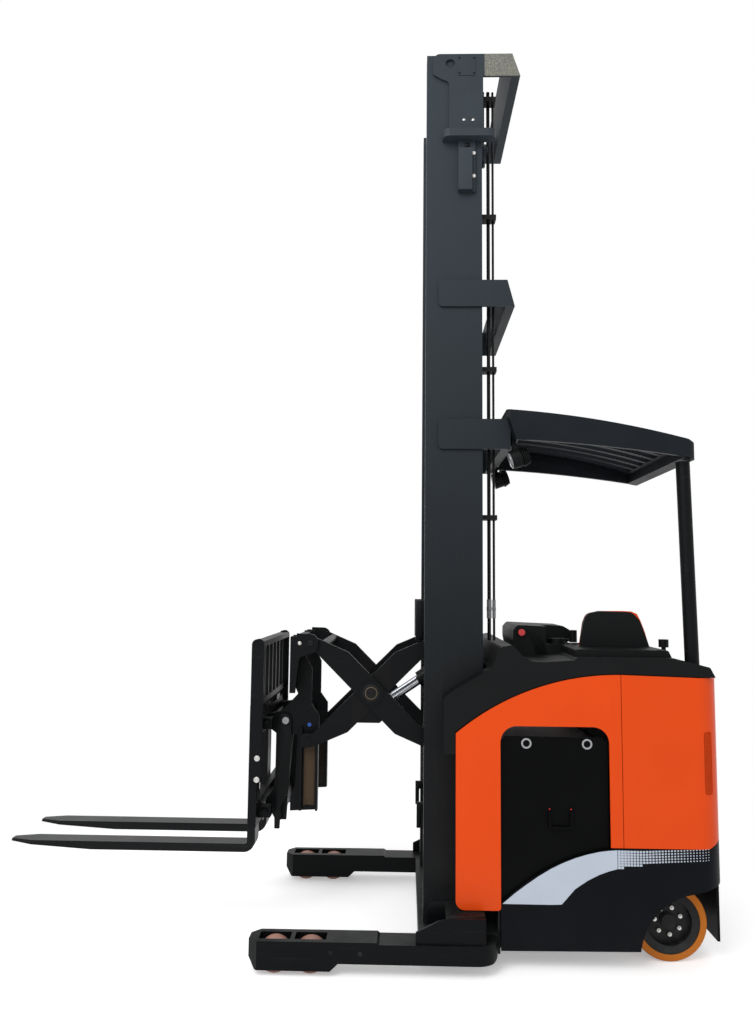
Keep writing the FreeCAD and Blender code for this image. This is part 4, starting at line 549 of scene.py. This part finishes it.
def lens_glass():
    """Clear lamp lens."""
    tree, bsdf, place = shader("lamp_lens")
    fine = grouped(tree, "Grain", {"Vector": place}, Scale=260.0)
    base = blended(tree, fine.outputs["Tone"], (0.20, 0.21, 0.22), (0.27, 0.28, 0.29))
    tree.links.new(base, bsdf.inputs["Base Color"])
    tree.links.new(ranged(tree, fine.outputs["Tone"], 0.06, 0.12), bsdf.inputs["Roughness"])
    bsdf.inputs["Coat Weight"].default_value = 0.6


def grip_tape():
    """The mast's painted lighter top colour, with a speckled grey and yellow film on the head hoop's outer side."""
    # The hoop's paint is the mast's lighter top colour, painted light
    tree, bsdf, place = painted("head_paint", MAST_PAINTED_LIGHT[0], 0.44, 0.12, 900.0, 0.22, 0.03)
    paint = bsdf.inputs["Base Color"].links[0].from_socket
    cells = node(tree, "ShaderNodeTexVoronoi", {"Vector": place}, in_Scale=150.0)
    flecks = ranged(tree, cells.outputs["Distance"], 0.0, 1.0, 0.28, 0.42)
    fine = grouped(tree, "Grain", {"Vector": place}, Scale=60.0, Tone_scale=16.0)
    tint = blended(tree, fine.outputs["Tone"], (0.27, 0.25, 0.15), (0.24, 0.24, 0.23))
    speckle = blended(tree, flecks, tint, (0.130, 0.130, 0.120))
    zone = grouped(tree, "Zone", {"Vector": place}, Middle=(0.745, 0.424, 4.36), Half=(0.100, 0.006, 0.2))
    tree.links.new(blended(tree, zone.outputs["Mask"], paint, speckle), bsdf.inputs["Base Color"])


FINISHES = {
    "guard_paint": ("overhead_guard",),
    "frame_paint": ("chassis_frame", "guard_post", "lift_carriage", "tilt_frame", "fork_carriage",
                    "load_backrest", "load_backrest_slats", "caster_fork", "reach_cylinder_barrels",
                    "lift_cylinder_barrels"),
    "leg_paint": ("leg_near", "leg_far"),
    "fork_paint": ("fork_near", "fork_far"),
    "mast_paint": ("mast_rail_near", "mast_rail_far", "mast_hoop_middle", "mast_hoop_guard", "mast_middle",
                   "mast_inner"),
    "head_paint": ("mast_hoop_head",),
    "reach_paint": ("reach_frame",),
    "arm_paint": ("scissor_arms_outer", "scissor_arms_inner"),
    "panel_paint": ("front_panel_near", "front_panel_far", "rear_panel_near", "rear_panel_far"),
    "skirt_plastic": ("lower_skirt",),
    "gate_paint": ("battery_gate_near", "battery_gate_far"),
    "cover_plastic": ("top_cover", "backrest_base", "console", "steering_tiller", "control_handle",
                      "work_light_near", "work_light_far"),
    "backrest_band": ("backrest_shell",),
    "drive_tread": ("drive_tyre", "caster_wheels"),
    "load_tread": ("load_wheel_front_near", "load_wheel_rear_near", "load_wheel_front_far", "load_wheel_rear_far"),
    "rim_paint": ("drive_rim",),
    "dark_steel": ("drive_unit", "free_lift_ram"),
    "chrome_rod": ("reach_cylinder_rods",),
    "hose_rubber": ("mast_lines",),
    "stop_plastic": ("stop_button",),
    "mat_rubber": ("floor_mat",),
    "battery_paint": ("battery",),
}


class TRUCK_OT_finishes(bpy.types.Operator):
    """Give every piece of the frame its finish"""
    bl_idname = "truck.finishes"
    bl_label = "Finishes"

    def execute(self, context):
        build_groups()
        build_materials(context.scene.truck_colours)
        for material, names in FINISHES.items():
            for name in names:
                if name not in NODES:
                    raise RuntimeError("no node named " + name)
                for slot in NODES[name].material_slots:
                    slot.material = MATERIALS[material]
        return {"FINISHED"}


# Stripe

def corner(x, off):
    """Place and heading on the skirt's near side, going round the rear corner."""
    (start, radius), side = SKIRT_CORNER, -SKIRT_SIDE
    if x <= start:
        return x, side - off, 0.0
    turn = (x - start) / radius
    return (start + (radius + off) * math.sin(turn), side + radius - (radius + off) * math.cos(turn), turn)


STRIPE_TOP = [
    (0.708, 0.2865), (0.760, 0.330), (0.817, 0.372), (0.870, 0.4080), (0.927, 0.4420), (0.981, 0.468),
    (1.036, 0.490), (1.090, 0.5065), (1.145, 0.519), (1.185, 0.5245), (1.225, 0.528),
]
STRIPE_LOW = [
    (0.708, 0.2860), (0.760, 0.2860), (0.817, 0.2860), (0.870, 0.2860), (0.927, 0.2860), (0.973, 0.2880),
    (1.034, 0.3560), (1.090, 0.3930), (1.144, 0.4200), (1.185, 0.4350), (1.225, 0.4460),
]


class TRUCK_OT_stripe(bpy.types.Operator):
    """Lay the pale stripe and its fading dots along the skirt"""
    bl_idname = "truck.stripe"
    bl_label = "Skirt stripe"

    def execute(self, context):
        sizes = context.scene.truck_sizes
        for side, sign in (("near", 1.0), ("far", -1.0)):
            band = self.band(sizes)
            dots = self.dots(sizes)
            for obj, label in ((band, "stripe_band_"), (dots, "stripe_dots_")):
                if sign < 0:
                    only(obj)
                    obj.scale = (1, -1, 1)
                    settle()
                    outwards()
                finished(obj, label + side, "chassis", "stripe_film")
        return {"FINISHED"}

    def band(self, sizes):
        """The solid part of the stripe, drawn out edge by edge."""
        clear()
        bpy.ops.mesh.primitive_plane_add(size=1, rotation=(math.pi / 2, 0, 0))
        obj = bpy.context.object
        settle()
        for vertex in obj.data.vertices:
            edge = STRIPE_TOP if vertex.co.z > 0 else STRIPE_LOW
            x, z = edge[1 if vertex.co.x > 0 else 0]
            vertex.co = (x, -SKIRT_SIDE, z)
        for i in range(2, len(STRIPE_TOP)):
            self.draw_out(obj, i)
        modify("SOLIDIFY", thickness=sizes.stripe_thick, offset=1.0)
        pick_faces(obj, lambda face: True)
        bpy.ops.mesh.normals_make_consistent(inside=False)
        bpy.ops.object.mode_set(mode="OBJECT")
        return obj

    def draw_out(self, obj, i):
        """Extrude the band's last upright edge to the next pair of points."""
        last = STRIPE_TOP[i - 1][0]
        bpy.ops.object.mode_set(mode="EDIT")
        bpy.ops.mesh.select_mode(type="VERT")
        bpy.ops.mesh.select_all(action="DESELECT")
        bpy.ops.object.mode_set(mode="OBJECT")
        for vertex in obj.data.vertices:
            vertex.select = abs(vertex.co.x - last) < 0.004 or abs(vertex.co.x - STRIPE_LOW[i - 1][0]) < 0.002
        bpy.ops.object.mode_set(mode="EDIT")
        bpy.ops.mesh.select_mode(type="EDGE")
        bpy.ops.mesh.extrude_region_move(TRANSFORM_OT_translate={"value": (STRIPE_TOP[i][0] - last, 0, 0)})
        bpy.ops.object.mode_set(mode="OBJECT")
        moved = [vertex for vertex in obj.data.vertices if vertex.select]
        moved.sort(key=lambda vertex: vertex.co.z)
        moved[0].co = (STRIPE_LOW[i][0], -SKIRT_SIDE, STRIPE_LOW[i][1])
        moved[-1].co = (STRIPE_TOP[i][0], -SKIRT_SIDE, STRIPE_TOP[i][1])

    def dots(self, sizes):
        """Rows of squares that shrink towards the rear."""
        clear()
        start, finish = 1.2335, 1.655
        bpy.ops.mesh.primitive_cube_add(size=1)
        master = bpy.context.object
        made = []
        thick, squat = sizes.stripe_thick, sizes.dot_high / sizes.dot_pitch
        count = int((finish - start) / sizes.dot_pitch)
        for column in range(count):
            x = start + column * sizes.dot_pitch
            share = column / count
            side = sizes.dot_pitch * (0.90 - 0.60 * share)
            top = 0.5285 + 0.020 * max(0.0, share - 0.25)
            low = 0.4480 + 0.020 * min(1.0, share * 3.0)
            rows = 7 if share < 0.12 else (6 if share < 0.3 else 5)
            for index in range(rows):
                z = top - (index + 0.55) * sizes.dot_high
                if z < low:
                    continue
                px, py, turn = corner(x, thick * 0.5)
                made.append(stamp(master, (px, py, z), turn, (side, thick, side * squat)))
        return gathered(master, made)


# Fasteners and pins

class TRUCK_OT_fasteners(bpy.types.Operator):
    """Set the visible screws and pin heads"""
    bl_idname = "truck.fasteners"
    bl_label = "Fasteners"

    def domes(self, radius, high, spots):
        """Round screw heads with a socket."""
        head = turned(radius, high * 0.5, ((radius * 0.18, high * 0.35), (radius * 0.25, high * 0.15),
                                           (radius * 0.22, -high * 0.45)), sides=24, edge=0.0003)
        return copies(head, spots, spin=0.5)

    def execute(self, context):
        rail, box_x, lug_z, rest_x = 0.424, 0.5915, 1.4228, -0.4395
        corners = [(x, z) for x in (0.519, 0.593) for z in (4.412, 4.330)]
        # Columns: name, radius, height, distance from the middle, places, body, slot, material
        rows = (
            ("head_screws", 0.007, 0.006, rail, [(0.542, 4.078), (0.589, 4.078)],
             "chassis", "steel", "bright_steel"),
            ("box_screws", 0.010, 0.007, rail, [(box_x, 3.900), (box_x, 3.778)],
             "chassis", "steel", "bright_steel"),
            ("cover_screws", 0.0045, 0.003, rail + 0.003, corners, "chassis", "frame_black", "frame_paint"),
            ("backrest_screws", 0.0135, 0.008, 0.420, [(rest_x, 0.885), (rest_x, 0.786)],
             "fork_carriage", "steel", "bright_steel"),
            ("lug_screws", 0.009, 0.006, 0.331, [(-0.2584, lug_z)], "reach_frame", "steel", "bright_steel"),
            ("lug_pins", 0.014, 0.006, 0.331, [(-0.205, lug_z)], "reach_frame", "frame_black", "rim_paint"),
            ("leg_screws", 0.010, 0.005, LEG_SIDE, [(-0.056, 0.105), (0.073, 0.102)],
             "chassis", "frame_black", "rim_paint"),
            ("tilt_pin_heads", 0.017, 0.010, 0.262, [(-0.330, 1.037)], "reach_frame", "steel", "ring_grey"),
            ("head_fittings", 0.013, 0.014, rail, [(0.5577, 3.941)], "chassis", "frame_black", "hose_rubber"),
        )
        for name, radius, high, side, places, body, slot, material in rows:
            finished(self.domes(radius, high, both(side, places)), name, body, material)
        return {"FINISHED"}


# Reach, chains and body

class TRUCK_OT_reach(bpy.types.Operator):
    """Fit the scissor pivot caps, tilt links and carriage parts"""
    bl_idname = "truck.reach"
    bl_label = "Reach fittings"

    def execute(self, context):
        self.pivots()
        self.tilt_links()
        self.carriage()
        return {"FINISHED"}

    def pivots(self):
        """Washer, ring and cap on each end of the scissor's pivot, and the blue seals on the reach frame."""
        ring = turned(0.043, 0.004, ((0.004, 0.0008),), sides=48, edge=0.0004)
        cup = turned(0.0300, 0.0095, ((0.0028, 0.0), (0.0005, -0.003)), sides=48, edge=0.0003)
        cap = turned(0.0262, 0.0085, ((0.006, 0.0), (0.003, -0.0015), (0.005, 0.0015)), sides=40, edge=0.0004)
        ends = both(0.3156, [(0.09625, 1.18380)])
        finished(copies(ring, ends), "scissor_washers", "scissor_inner", "rim_paint")
        finished(copies(cup, ends), "scissor_rings", "scissor_inner", "ring_bronze")
        finished(copies(cap, ends), "scissor_caps", "scissor_inner", "rim_paint")
        seal = turned(0.010, 0.003, ((0.002, 0.001), (0.003, -0.002)), sides=32, edge=0.0003)
        seals = copies(seal, both(0.2282, [(-0.215, 1.013)]))
        finished(seals, "blue_seals", "reach_frame", "blue_seal")

    def tilt_links(self):
        """The links that hang beside the tilt frame, each with its step."""
        x = -0.330
        link = plate([(x - 0.050, 0.654), (x - 0.048, 0.512), (x - 0.022, 0.512), (x - 0.018, 0.620),
                      (x + 0.020, 0.700), (x + 0.027, 0.895), (x + 0.027, 1.040), (x + 0.012, 1.066),
                      (x - 0.028, 1.066), (x - 0.044, 1.040)],
                     -0.250, -0.235, edge=0.003)
        step = slab((x - 0.048, -0.240, 0.552), (x - 0.016, -0.200, 0.584), 0.003)
        finished(mirrored(together([link, step])), "tilt_links", "tilt_frame", "frame_paint")

    def carriage(self):
        """Valve box, stay and hook on each side of the lift carriage."""
        box = slab((0.313, -0.224, 1.436), (0.366, -0.150, 1.638), 0.004)
        stay = slab((0.360, -0.224, 1.480), (0.392, -0.190, 1.540), 0.003)
        hook = plate([(0.323, 0.520), (0.344, 0.520), (0.344, 0.602), (0.392, 0.602), (0.392, 0.643), (0.323, 0.643)],
                     -0.226, -0.208, edge=0.003)
        parts = mirrored(together([box, stay, hook]))
        finished(parts, "carriage_fittings", "lift_carriage", "frame_paint")


class TRUCK_OT_chains(bpy.types.Operator):
    """Hang the leaf chains with their anchors behind the mast and sleeve its lines"""
    bl_idname = "truck.chains"
    bl_label = "Lift chains"

    def execute(self, context):
        x, y, low, pitch, links = 0.6545, -0.255, 3.990, 0.019, 18
        outer = slab((x - 0.006, y - 0.017, low), (x + 0.006, y + 0.017, low + pitch * 0.94), 0.0035)
        pin = turned(0.0032, 0.037, ((0.001, 0.0005),), sides=12)
        pins = copies(pin, [(x, y + 0.0185, low + pitch * 0.5, "-Y")])
        chain = together([outer, pins])
        only(chain)
        row(links, (0, 0, pitch))
        anchor = turned(0.007, 0.075, ((0.001, 0.001),), sides=20)
        nut = turned(0.012, 0.014, ((0.002, 0.001),), sides=6, edge=0.0006)
        rods = [copies(anchor, [(x, y, low - 0.075, "Z")]), copies(nut, [(x, y, low - 0.070, "Z")])]
        shelf = slab((0.6348, -0.400, low - 0.052), (0.6665, -0.236, low - 0.040), 0.002)
        self.sleeves()
        finished(mirrored(together([chain] + rods)), "lift_chains", "chassis", "dark_steel")
        finished(mirrored(shelf), "chain_brackets", "chassis", "mast_paint")
        return {"FINISHED"}

    def sleeves(self):
        """Braided sleeves with hexagon ferrules low on the mast's two lines."""
        line_y, low, ferrule_low = -0.300, 1.553, 1.592
        made = []
        for x, radius in ((0.676, 0.0118), (0.700, 0.0086)):
            sleeve = turned(radius, 0.092, ((0.001, 0.0005),), sides=24)
            ferrule = turned(radius * 1.22, 0.016, ((0.002, 0.001),), sides=6, edge=0.0006)
            made.append(copies(sleeve, [(x, line_y, low, "Z")]))
            made.append(copies(ferrule, [(x, line_y, ferrule_low, "Z")]))
        finished(together(made), "line_sleeves", "chassis", "sleeve_braid")


class TRUCK_OT_body(bpy.types.Operator):
    """Fit the leg plates, gate rings, grille, lamp lenses, backrest trim, console folds and mat ribs"""
    bl_idname = "truck.body"
    bl_label = "Body fittings"

    def execute(self, context):
        self.legs()
        self.gate_parts()
        self.grille()
        self.lamps()
        self.backrest_trim()
        self.console_folds()
        self.mat(context.scene.truck_sizes.rib_pitch)
        return {"FINISHED"}

    def legs(self):
        """Sloped hood, cheek and cover plate on each leg."""
        near = -LEG_SIDE
        hood = plate([(near + 0.010, 0.196), (near + 0.036, 0.253), (near + 0.044, 0.249), (near + 0.022, 0.196)],
                     0.474, 0.625, edge=0.001, plane="YZ")
        cheek = plate([(0.370, 0.150), (0.370, 0.226), (0.392, 0.249), (0.640, 0.249), (0.640, 0.150)],
                      -0.430, -0.4165, edge=0.001)
        cover = slab((-0.305, near - 0.002, 0.047), (-0.128, near + 0.001, 0.081), 0.001)
        finished(mirrored(together([hood, cheek, cover])), "leg_plates", "chassis", "leg_paint")

    def lamps(self):
        """Lens in the front of each work light."""
        lens = turned(0.041, 0.004, ((0.006, 0.003), (0.012, 0.001)), sides=40, edge=0.0005)
        (x, y, z), reach, slope = (0.810, 0.390, 2.341), 0.036, math.radians(20)
        front_x, front_z = x - reach * math.cos(slope), z - reach * math.sin(slope)
        spots = [(front_x, side, front_z, "lamp") for side in (-y, y)]
        finished(copies(lens, spots), "lamp_lenses", "chassis", "lamp_lens")

    def backrest_trim(self):
        """Orange plate that stands out round the backrest."""
        arch = [(1.1350, 1.4185), (1.1530, 1.5350), (1.1600, 1.5540), (1.1710, 1.5700), (1.1940, 1.5840),
                (1.2320, 1.5930), (1.3540, 1.5940), (1.3960, 1.5920), (1.4240, 1.5800), (1.4400, 1.5480),
                (1.4590, 1.4980), (1.4820, 1.4185)]
        trim = plate(arch, -0.2265, -0.2205, edge=0.001)
        finished(trim, "backrest_trim", "chassis", "panel_paint")

    def console_folds(self):
        """Slanting folds on the console's near face."""
        first, top, bend, foot = 0.890, 1.494, 1.430, 1.372
        folds = []
        for left in (first, 0.902, 0.914, 0.926, 0.938):
            drop = (left - first) * 0.5
            folds.append(plate([(left, top - drop), (left + 0.007, top - 0.002 - drop), (left + 0.036, bend),
                                (left + 0.050, foot), (left + 0.043, foot), (left + 0.029, bend)],
                               -0.140, -0.1295, edge=0.001))
        finished(together(folds), "console_folds", "chassis", "cover_plastic")

    def mat(self, pitch):
        """Ribs along the floor mat."""
        rib = slab((1.225, -0.106, 0.2765), (1.646, -0.100, 0.2800), 0.001)
        only(rib)
        row(26, (0, pitch, 0))
        finished(rib, "mat_ribs", "chassis", "mat_rubber")

    def gate_parts(self):
        """Light rings round the gates' eyes, and the tabs of the pull handles with their red dots."""
        ring = turned(0.0235, 0.004, ((0.0070, 0.0), (0.0005, -0.003)), sides=40, edge=0.0004)
        hole = turned(0.0158, 0.0012, ((0.001, 0.0002),), sides=32)
        face, left, right, tab_low, tab_high = 0.515, 0.926, 1.024, 0.684, 0.706
        spots = both(face + 0.001, [(0.822, 0.991), (1.100, 0.991)])
        finished(copies(ring, spots), "gate_rings", "chassis", "ring_grey")
        finished(copies(hole, spots), "gate_ring_holes", "chassis", "gate_paint")
        tabs = [slab((x - 0.009, -face, tab_low), (x + 0.009, -0.5118, tab_high), 0.001) for x in (left, right)]
        finished(mirrored(together(tabs)), "gate_tabs", "chassis", "gate_paint")
        dot = turned(0.0032, 0.0006, ((0.0006, 0.0002),), sides=20)
        dots = copies(dot, both(face, [(left, 0.698), (right, 0.698)]))
        finished(dots, "gate_dots", "chassis", "red_dot")

    def grille(self):
        """Fine mesh over a ground in the near rear panel's recess; the ground is much darker orange and the mesh a
        little darker, painted shade of the recess.
        """
        low, high, columns, pitch = 0.776, 1.053, 6, 0.0085
        first, step = 0.250, 0.0605
        start, radius = SKIRT_CORNER
        wide = step * radius
        ground = slab((-wide / 2, -0.0002, low), (wide / 2, 0.0008, high), 0.0)
        upright = slab((-0.0011, -0.0012, low), (0.0011, 0.0004, high), 0.0)
        bar = slab((-wide / 2, -0.0012, low), (wide / 2, 0.0004, low + 0.0022), 0.0)
        only(bar)
        row(int((high - low) / pitch) + 1, (0, 0, pitch))
        # The ground and mesh take the darker oranges that paint the recess's shade
        for obj, label, material in ((ground, "grille_backing_shade", "grille_painted_shade"),
                                     (together([upright, bar]), "grille_mesh", "mesh_shaded_orange")):
            made = []
            for column in range(columns):
                px, py, turn = corner(start + radius * (first + column * step), -0.0022)
                made.append(stamp(obj, (px, py, 0), turn))
            finished(gathered(obj, made), label, "chassis", material)


class TRUCK_OT_pad(bpy.types.Operator):
    """Swell the backrest pad as padded leather"""
    bl_idname = "truck.pad"
    bl_label = "Backrest pad"

    def execute(self, context):
        source = NODES["backrest_pad"]
        pad = bpy.data.objects.new("backrest_cushion", source.data.copy())
        context.scene.collection.objects.link(pad)
        only(pad)
        bpy.ops.object.mode_set(mode="EDIT")
        bpy.ops.mesh.select_all(action="SELECT")
        bpy.ops.mesh.remove_doubles(threshold=0.0001)
        bpy.ops.object.mode_set(mode="OBJECT")
        low = [min(v.co[i] for v in pad.data.vertices) for i in range(3)]
        high = [max(v.co[i] for v in pad.data.vertices) for i in range(3)]
        middle = [(a + b) / 2 for a, b in zip(low, high)]
        shrink = (0.965, 0.84, 0.955)
        for vertex in pad.data.vertices:
            vertex.co = [middle[i] + (vertex.co[i] - middle[i]) * shrink[i] for i in range(3)]
        pad.data.remesh_voxel_size = 0.006
        bpy.ops.object.voxel_remesh()
        self.swell(context.scene, pad, low, high)
        modify("SUBSURF", levels=1, render_levels=1)
        bpy.ops.object.shade_smooth()
        finished(pad, "backrest_cushion", "chassis", "pad_leather")
        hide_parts("backrest_pad")
        return {"FINISHED"}

    def swell(self, scene, pad, low, high):
        """Blow the pad up as cloth, kept inside the space of its solid."""
        cap = 0.006
        before = [vertex.co.copy() for vertex in pad.data.vertices]
        bpy.ops.object.modifier_add(type="CLOTH")
        cloth = pad.modifiers[-1]
        cloth.settings.use_pressure = True
        cloth.settings.uniform_pressure_force = 4.0
        cloth.settings.effector_weights.gravity = 0.0
        for frame_number in range(1, 21):
            scene.frame_set(frame_number)
        bpy.ops.object.modifier_apply(modifier=cloth.name)
        scene.frame_set(1)
        for vertex, start in zip(pad.data.vertices, before):
            move = vertex.co - start
            if move.length > cap:
                move = move.normalized() * cap
            vertex.co = [min(max(value, l), h) for value, l, h in zip(start + move, low, high)]


class TRUCK_OT_wheel(bpy.types.Operator):
    """Bolt the drive wheel and cap its hub"""
    bl_idname = "truck.wheel"
    bl_label = "Drive wheel"

    def execute(self, context):
        axle_x, axle_z, face = 1.4885, 0.173, -0.3845
        nut = turned(0.0105, 0.013, ((0.002, 0.002), (0.002, 0.006)), sides=6, edge=0.0006)
        spots = []
        for i in range(7):
            turn = 2 * math.pi * i / 7 + 0.35
            spots.append((axle_x + 0.061 * math.cos(turn), face, axle_z + 0.061 * math.sin(turn), "-Y"))
        finished(copies(nut, spots, spin=0.4), "wheel_nuts", "drive_wheel", "bright_steel")
        hub = turned(0.036, 0.010, ((0.004, 0.003), (0.010, -0.004), (0.006, 0.006)), sides=40, edge=0.0006)
        finished(aim(hub, (axle_x, face, axle_z), "-Y"), "hub_cap", "drive_wheel", "rim_paint")
        return {"FINISHED"}


# Studio

def camera_matrix():
    """Where the camera stands and how it is turned."""
    yaw, pitch, roll = 0.0258, 0.0945, 0.0096
    ahead = Vector((-math.sin(yaw), math.cos(yaw), 0))
    right = Vector((math.cos(yaw), math.sin(yaw), 0))
    up = Vector((0, 0, 1))
    forward = ahead * math.cos(pitch) + up * math.sin(pitch)
    over = up * math.cos(pitch) - ahead * math.sin(pitch)
    across = right * math.cos(roll) + over * math.sin(roll)
    top = over * math.cos(roll) - right * math.sin(roll)
    matrix = Matrix((across, top, -forward)).transposed().to_4x4()
    spot = (0.2586, -4.2609, 1.6943)
    matrix.translation = spot
    return matrix


class TRUCK_OT_studio(bpy.types.Operator):
    """Set the floor, the plain light and the camera"""
    bl_idname = "truck.studio"
    bl_label = "Studio"

    def execute(self, context):
        stage = context.scene.truck_stage
        self.floor(stage)
        self.light(context.scene, stage)
        self.camera(context.scene, stage)
        context.scene.view_settings.view_transform = "Standard"
        return {"FINISHED"}

    def floor(self, stage):
        """A pale floor that turns white away from the truck."""
        clear()
        bpy.ops.mesh.primitive_plane_add(size=stage.floor, location=(0, 0, -0.001))
        settle()
        floor = bpy.context.object
        floor.name = "studio_floor"
        material = bpy.data.materials.new("floor_white")
        material.use_nodes = True
        tree = material.node_tree
        bsdf = tree.nodes["Principled BSDF"]
        out = tree.nodes["Material Output"]
        place = node(tree, "ShaderNodeTexCoord")
        clouds = noise(tree, place.outputs["Object"], 2.0)
        base = blended(tree, clouds, (0.90, 0.90, 0.90), (0.92, 0.92, 0.92))
        tree.links.new(base, bsdf.inputs["Base Color"])
        bsdf.inputs["Roughness"].default_value = 0.7
        bsdf.inputs["Specular IOR Level"].default_value = 0.1
        glow = node(tree, "ShaderNodeEmission", in_Color=(1, 1, 1, 1), in_Strength=1.0)
        lift = node(tree, "ShaderNodeEmission", in_Color=(1, 1, 1, 1), in_Strength=0.34)
        flat = node(tree, "ShaderNodeVectorMath", {0: place.outputs["Object"]}, operation="LENGTH")
        near_edge, far_edge = 1.5, 2.6
        away = ranged(tree, flat.outputs["Value"], 0.0, 1.0, near_edge, far_edge)
        path = node(tree, "ShaderNodeLightPath").outputs
        seen = calc(tree, "ADD", path["Is Camera Ray"], path["Is Glossy Ray"], True)
        share = calc(tree, "MULTIPLY", away, seen)
        lit = node(tree, "ShaderNodeAddShader", {0: bsdf.outputs[0], 1: lift.outputs[0]})
        pale = node(tree, "ShaderNodeMixShader", {0: seen, 1: bsdf.outputs[0], 2: lit.outputs[0]})
        mix = node(tree, "ShaderNodeMixShader", {0: share, 1: pale.outputs[0], 2: glow.outputs[0]})
        tree.links.new(mix.outputs[0], out.inputs["Surface"])
        floor.data.materials.append(material)

    def light(self, scene, stage):
        """Plain light from all round with one large soft lamp."""
        world = bpy.data.worlds.new("studio")
        scene.world = world
        world.use_nodes = True
        tree = world.node_tree
        tree.nodes.clear()
        out = node(tree, "ShaderNodeOutputWorld")
        plain = node(tree, "ShaderNodeBackground", in_Color=(1, 1, 1, 1), in_Strength=stage.ambient)
        white = node(tree, "ShaderNodeBackground", in_Color=(1, 1, 1, 1), in_Strength=1.0)
        path = node(tree, "ShaderNodeLightPath").outputs
        seen = calc(tree, "ADD", path["Is Camera Ray"], path["Is Glossy Ray"], True)
        seen = calc(tree, "ADD", seen, path["Is Transmission Ray"], True)
        mix = node(tree, "ShaderNodeMixShader", {0: seen, 1: plain.outputs[0], 2: white.outputs[0]})
        tree.links.new(mix.outputs[0], out.inputs["Surface"])
        clear()
        bpy.ops.object.light_add(type="AREA", location=(-2.2, -5.0, 5.6))
        lamp = bpy.context.object
        lamp.name = "key_lamp"
        lamp.data.shape = "SQUARE"
        lamp.data.size = 3.5
        lamp.data.energy = stage.lamp
        lamp.rotation_euler = (Vector((0.4, 0.0, 1.2)) - lamp.location).to_track_quat("-Z", "Y").to_euler()

    def camera(self, scene, stage):
        """The camera of the picture."""
        clear()
        bpy.ops.object.camera_add()
        camera = bpy.context.object
        camera.name = "camera"
        camera.matrix_world = camera_matrix()
        camera.data.sensor_width = 36.0
        camera.data.sensor_fit = "AUTO"
        camera.data.lens = stage.lens
        camera.data.shift_x = -0.0081
        camera.data.shift_y = 0.0016
        camera.data.clip_end = 200.0
        scene.camera = camera


class TRUCK_PT_panel(bpy.types.Panel):
    """Lists the steps that finish the truck"""
    bl_idname = "TRUCK_PT_panel"
    bl_label = "Reach truck"
    bl_space_type = "VIEW_3D"
    bl_region_type = "UI"
    bl_category = "Reach truck"

    def draw(self, context):
        for group in ("truck_colours", "truck_sizes", "truck_stage"):
            holder = getattr(context.scene, group)
            for key in holder.__annotations__:
                self.layout.prop(holder, key)
        for step in STEPS:
            self.layout.operator(step.bl_idname)


GROUP_CLASSES = (TruckColours, TruckSizes, TruckStage)
STEPS = (TRUCK_OT_finishes, TRUCK_OT_stripe, TRUCK_OT_fasteners, TRUCK_OT_reach, TRUCK_OT_chains, TRUCK_OT_body,
         TRUCK_OT_pad, TRUCK_OT_wheel, TRUCK_OT_studio)


def register():
    """Make the classes and the scene's settings known."""
    for item in GROUP_CLASSES + STEPS + (TRUCK_PT_panel,):
        bpy.utils.register_class(item)
    bpy.types.Scene.truck_colours = bpy.props.PointerProperty(type=TruckColours)
    bpy.types.Scene.truck_sizes = bpy.props.PointerProperty(type=TruckSizes)
    bpy.types.Scene.truck_stage = bpy.props.PointerProperty(type=TruckStage)


def unregister():
    """Take the classes and settings away again."""
    del bpy.types.Scene.truck_stage
    del bpy.types.Scene.truck_sizes
    del bpy.types.Scene.truck_colours
    for item in reversed(GROUP_CLASSES + STEPS + (TRUCK_PT_panel,)):
        bpy.utils.unregister_class(item)


def main():
    """Finish the truck step by step."""
    register()
    for step in STEPS:
        area, name = step.bl_idname.split(".")
        getattr(getattr(bpy.ops, area), name)()


if __name__ == "__main__":
    main()
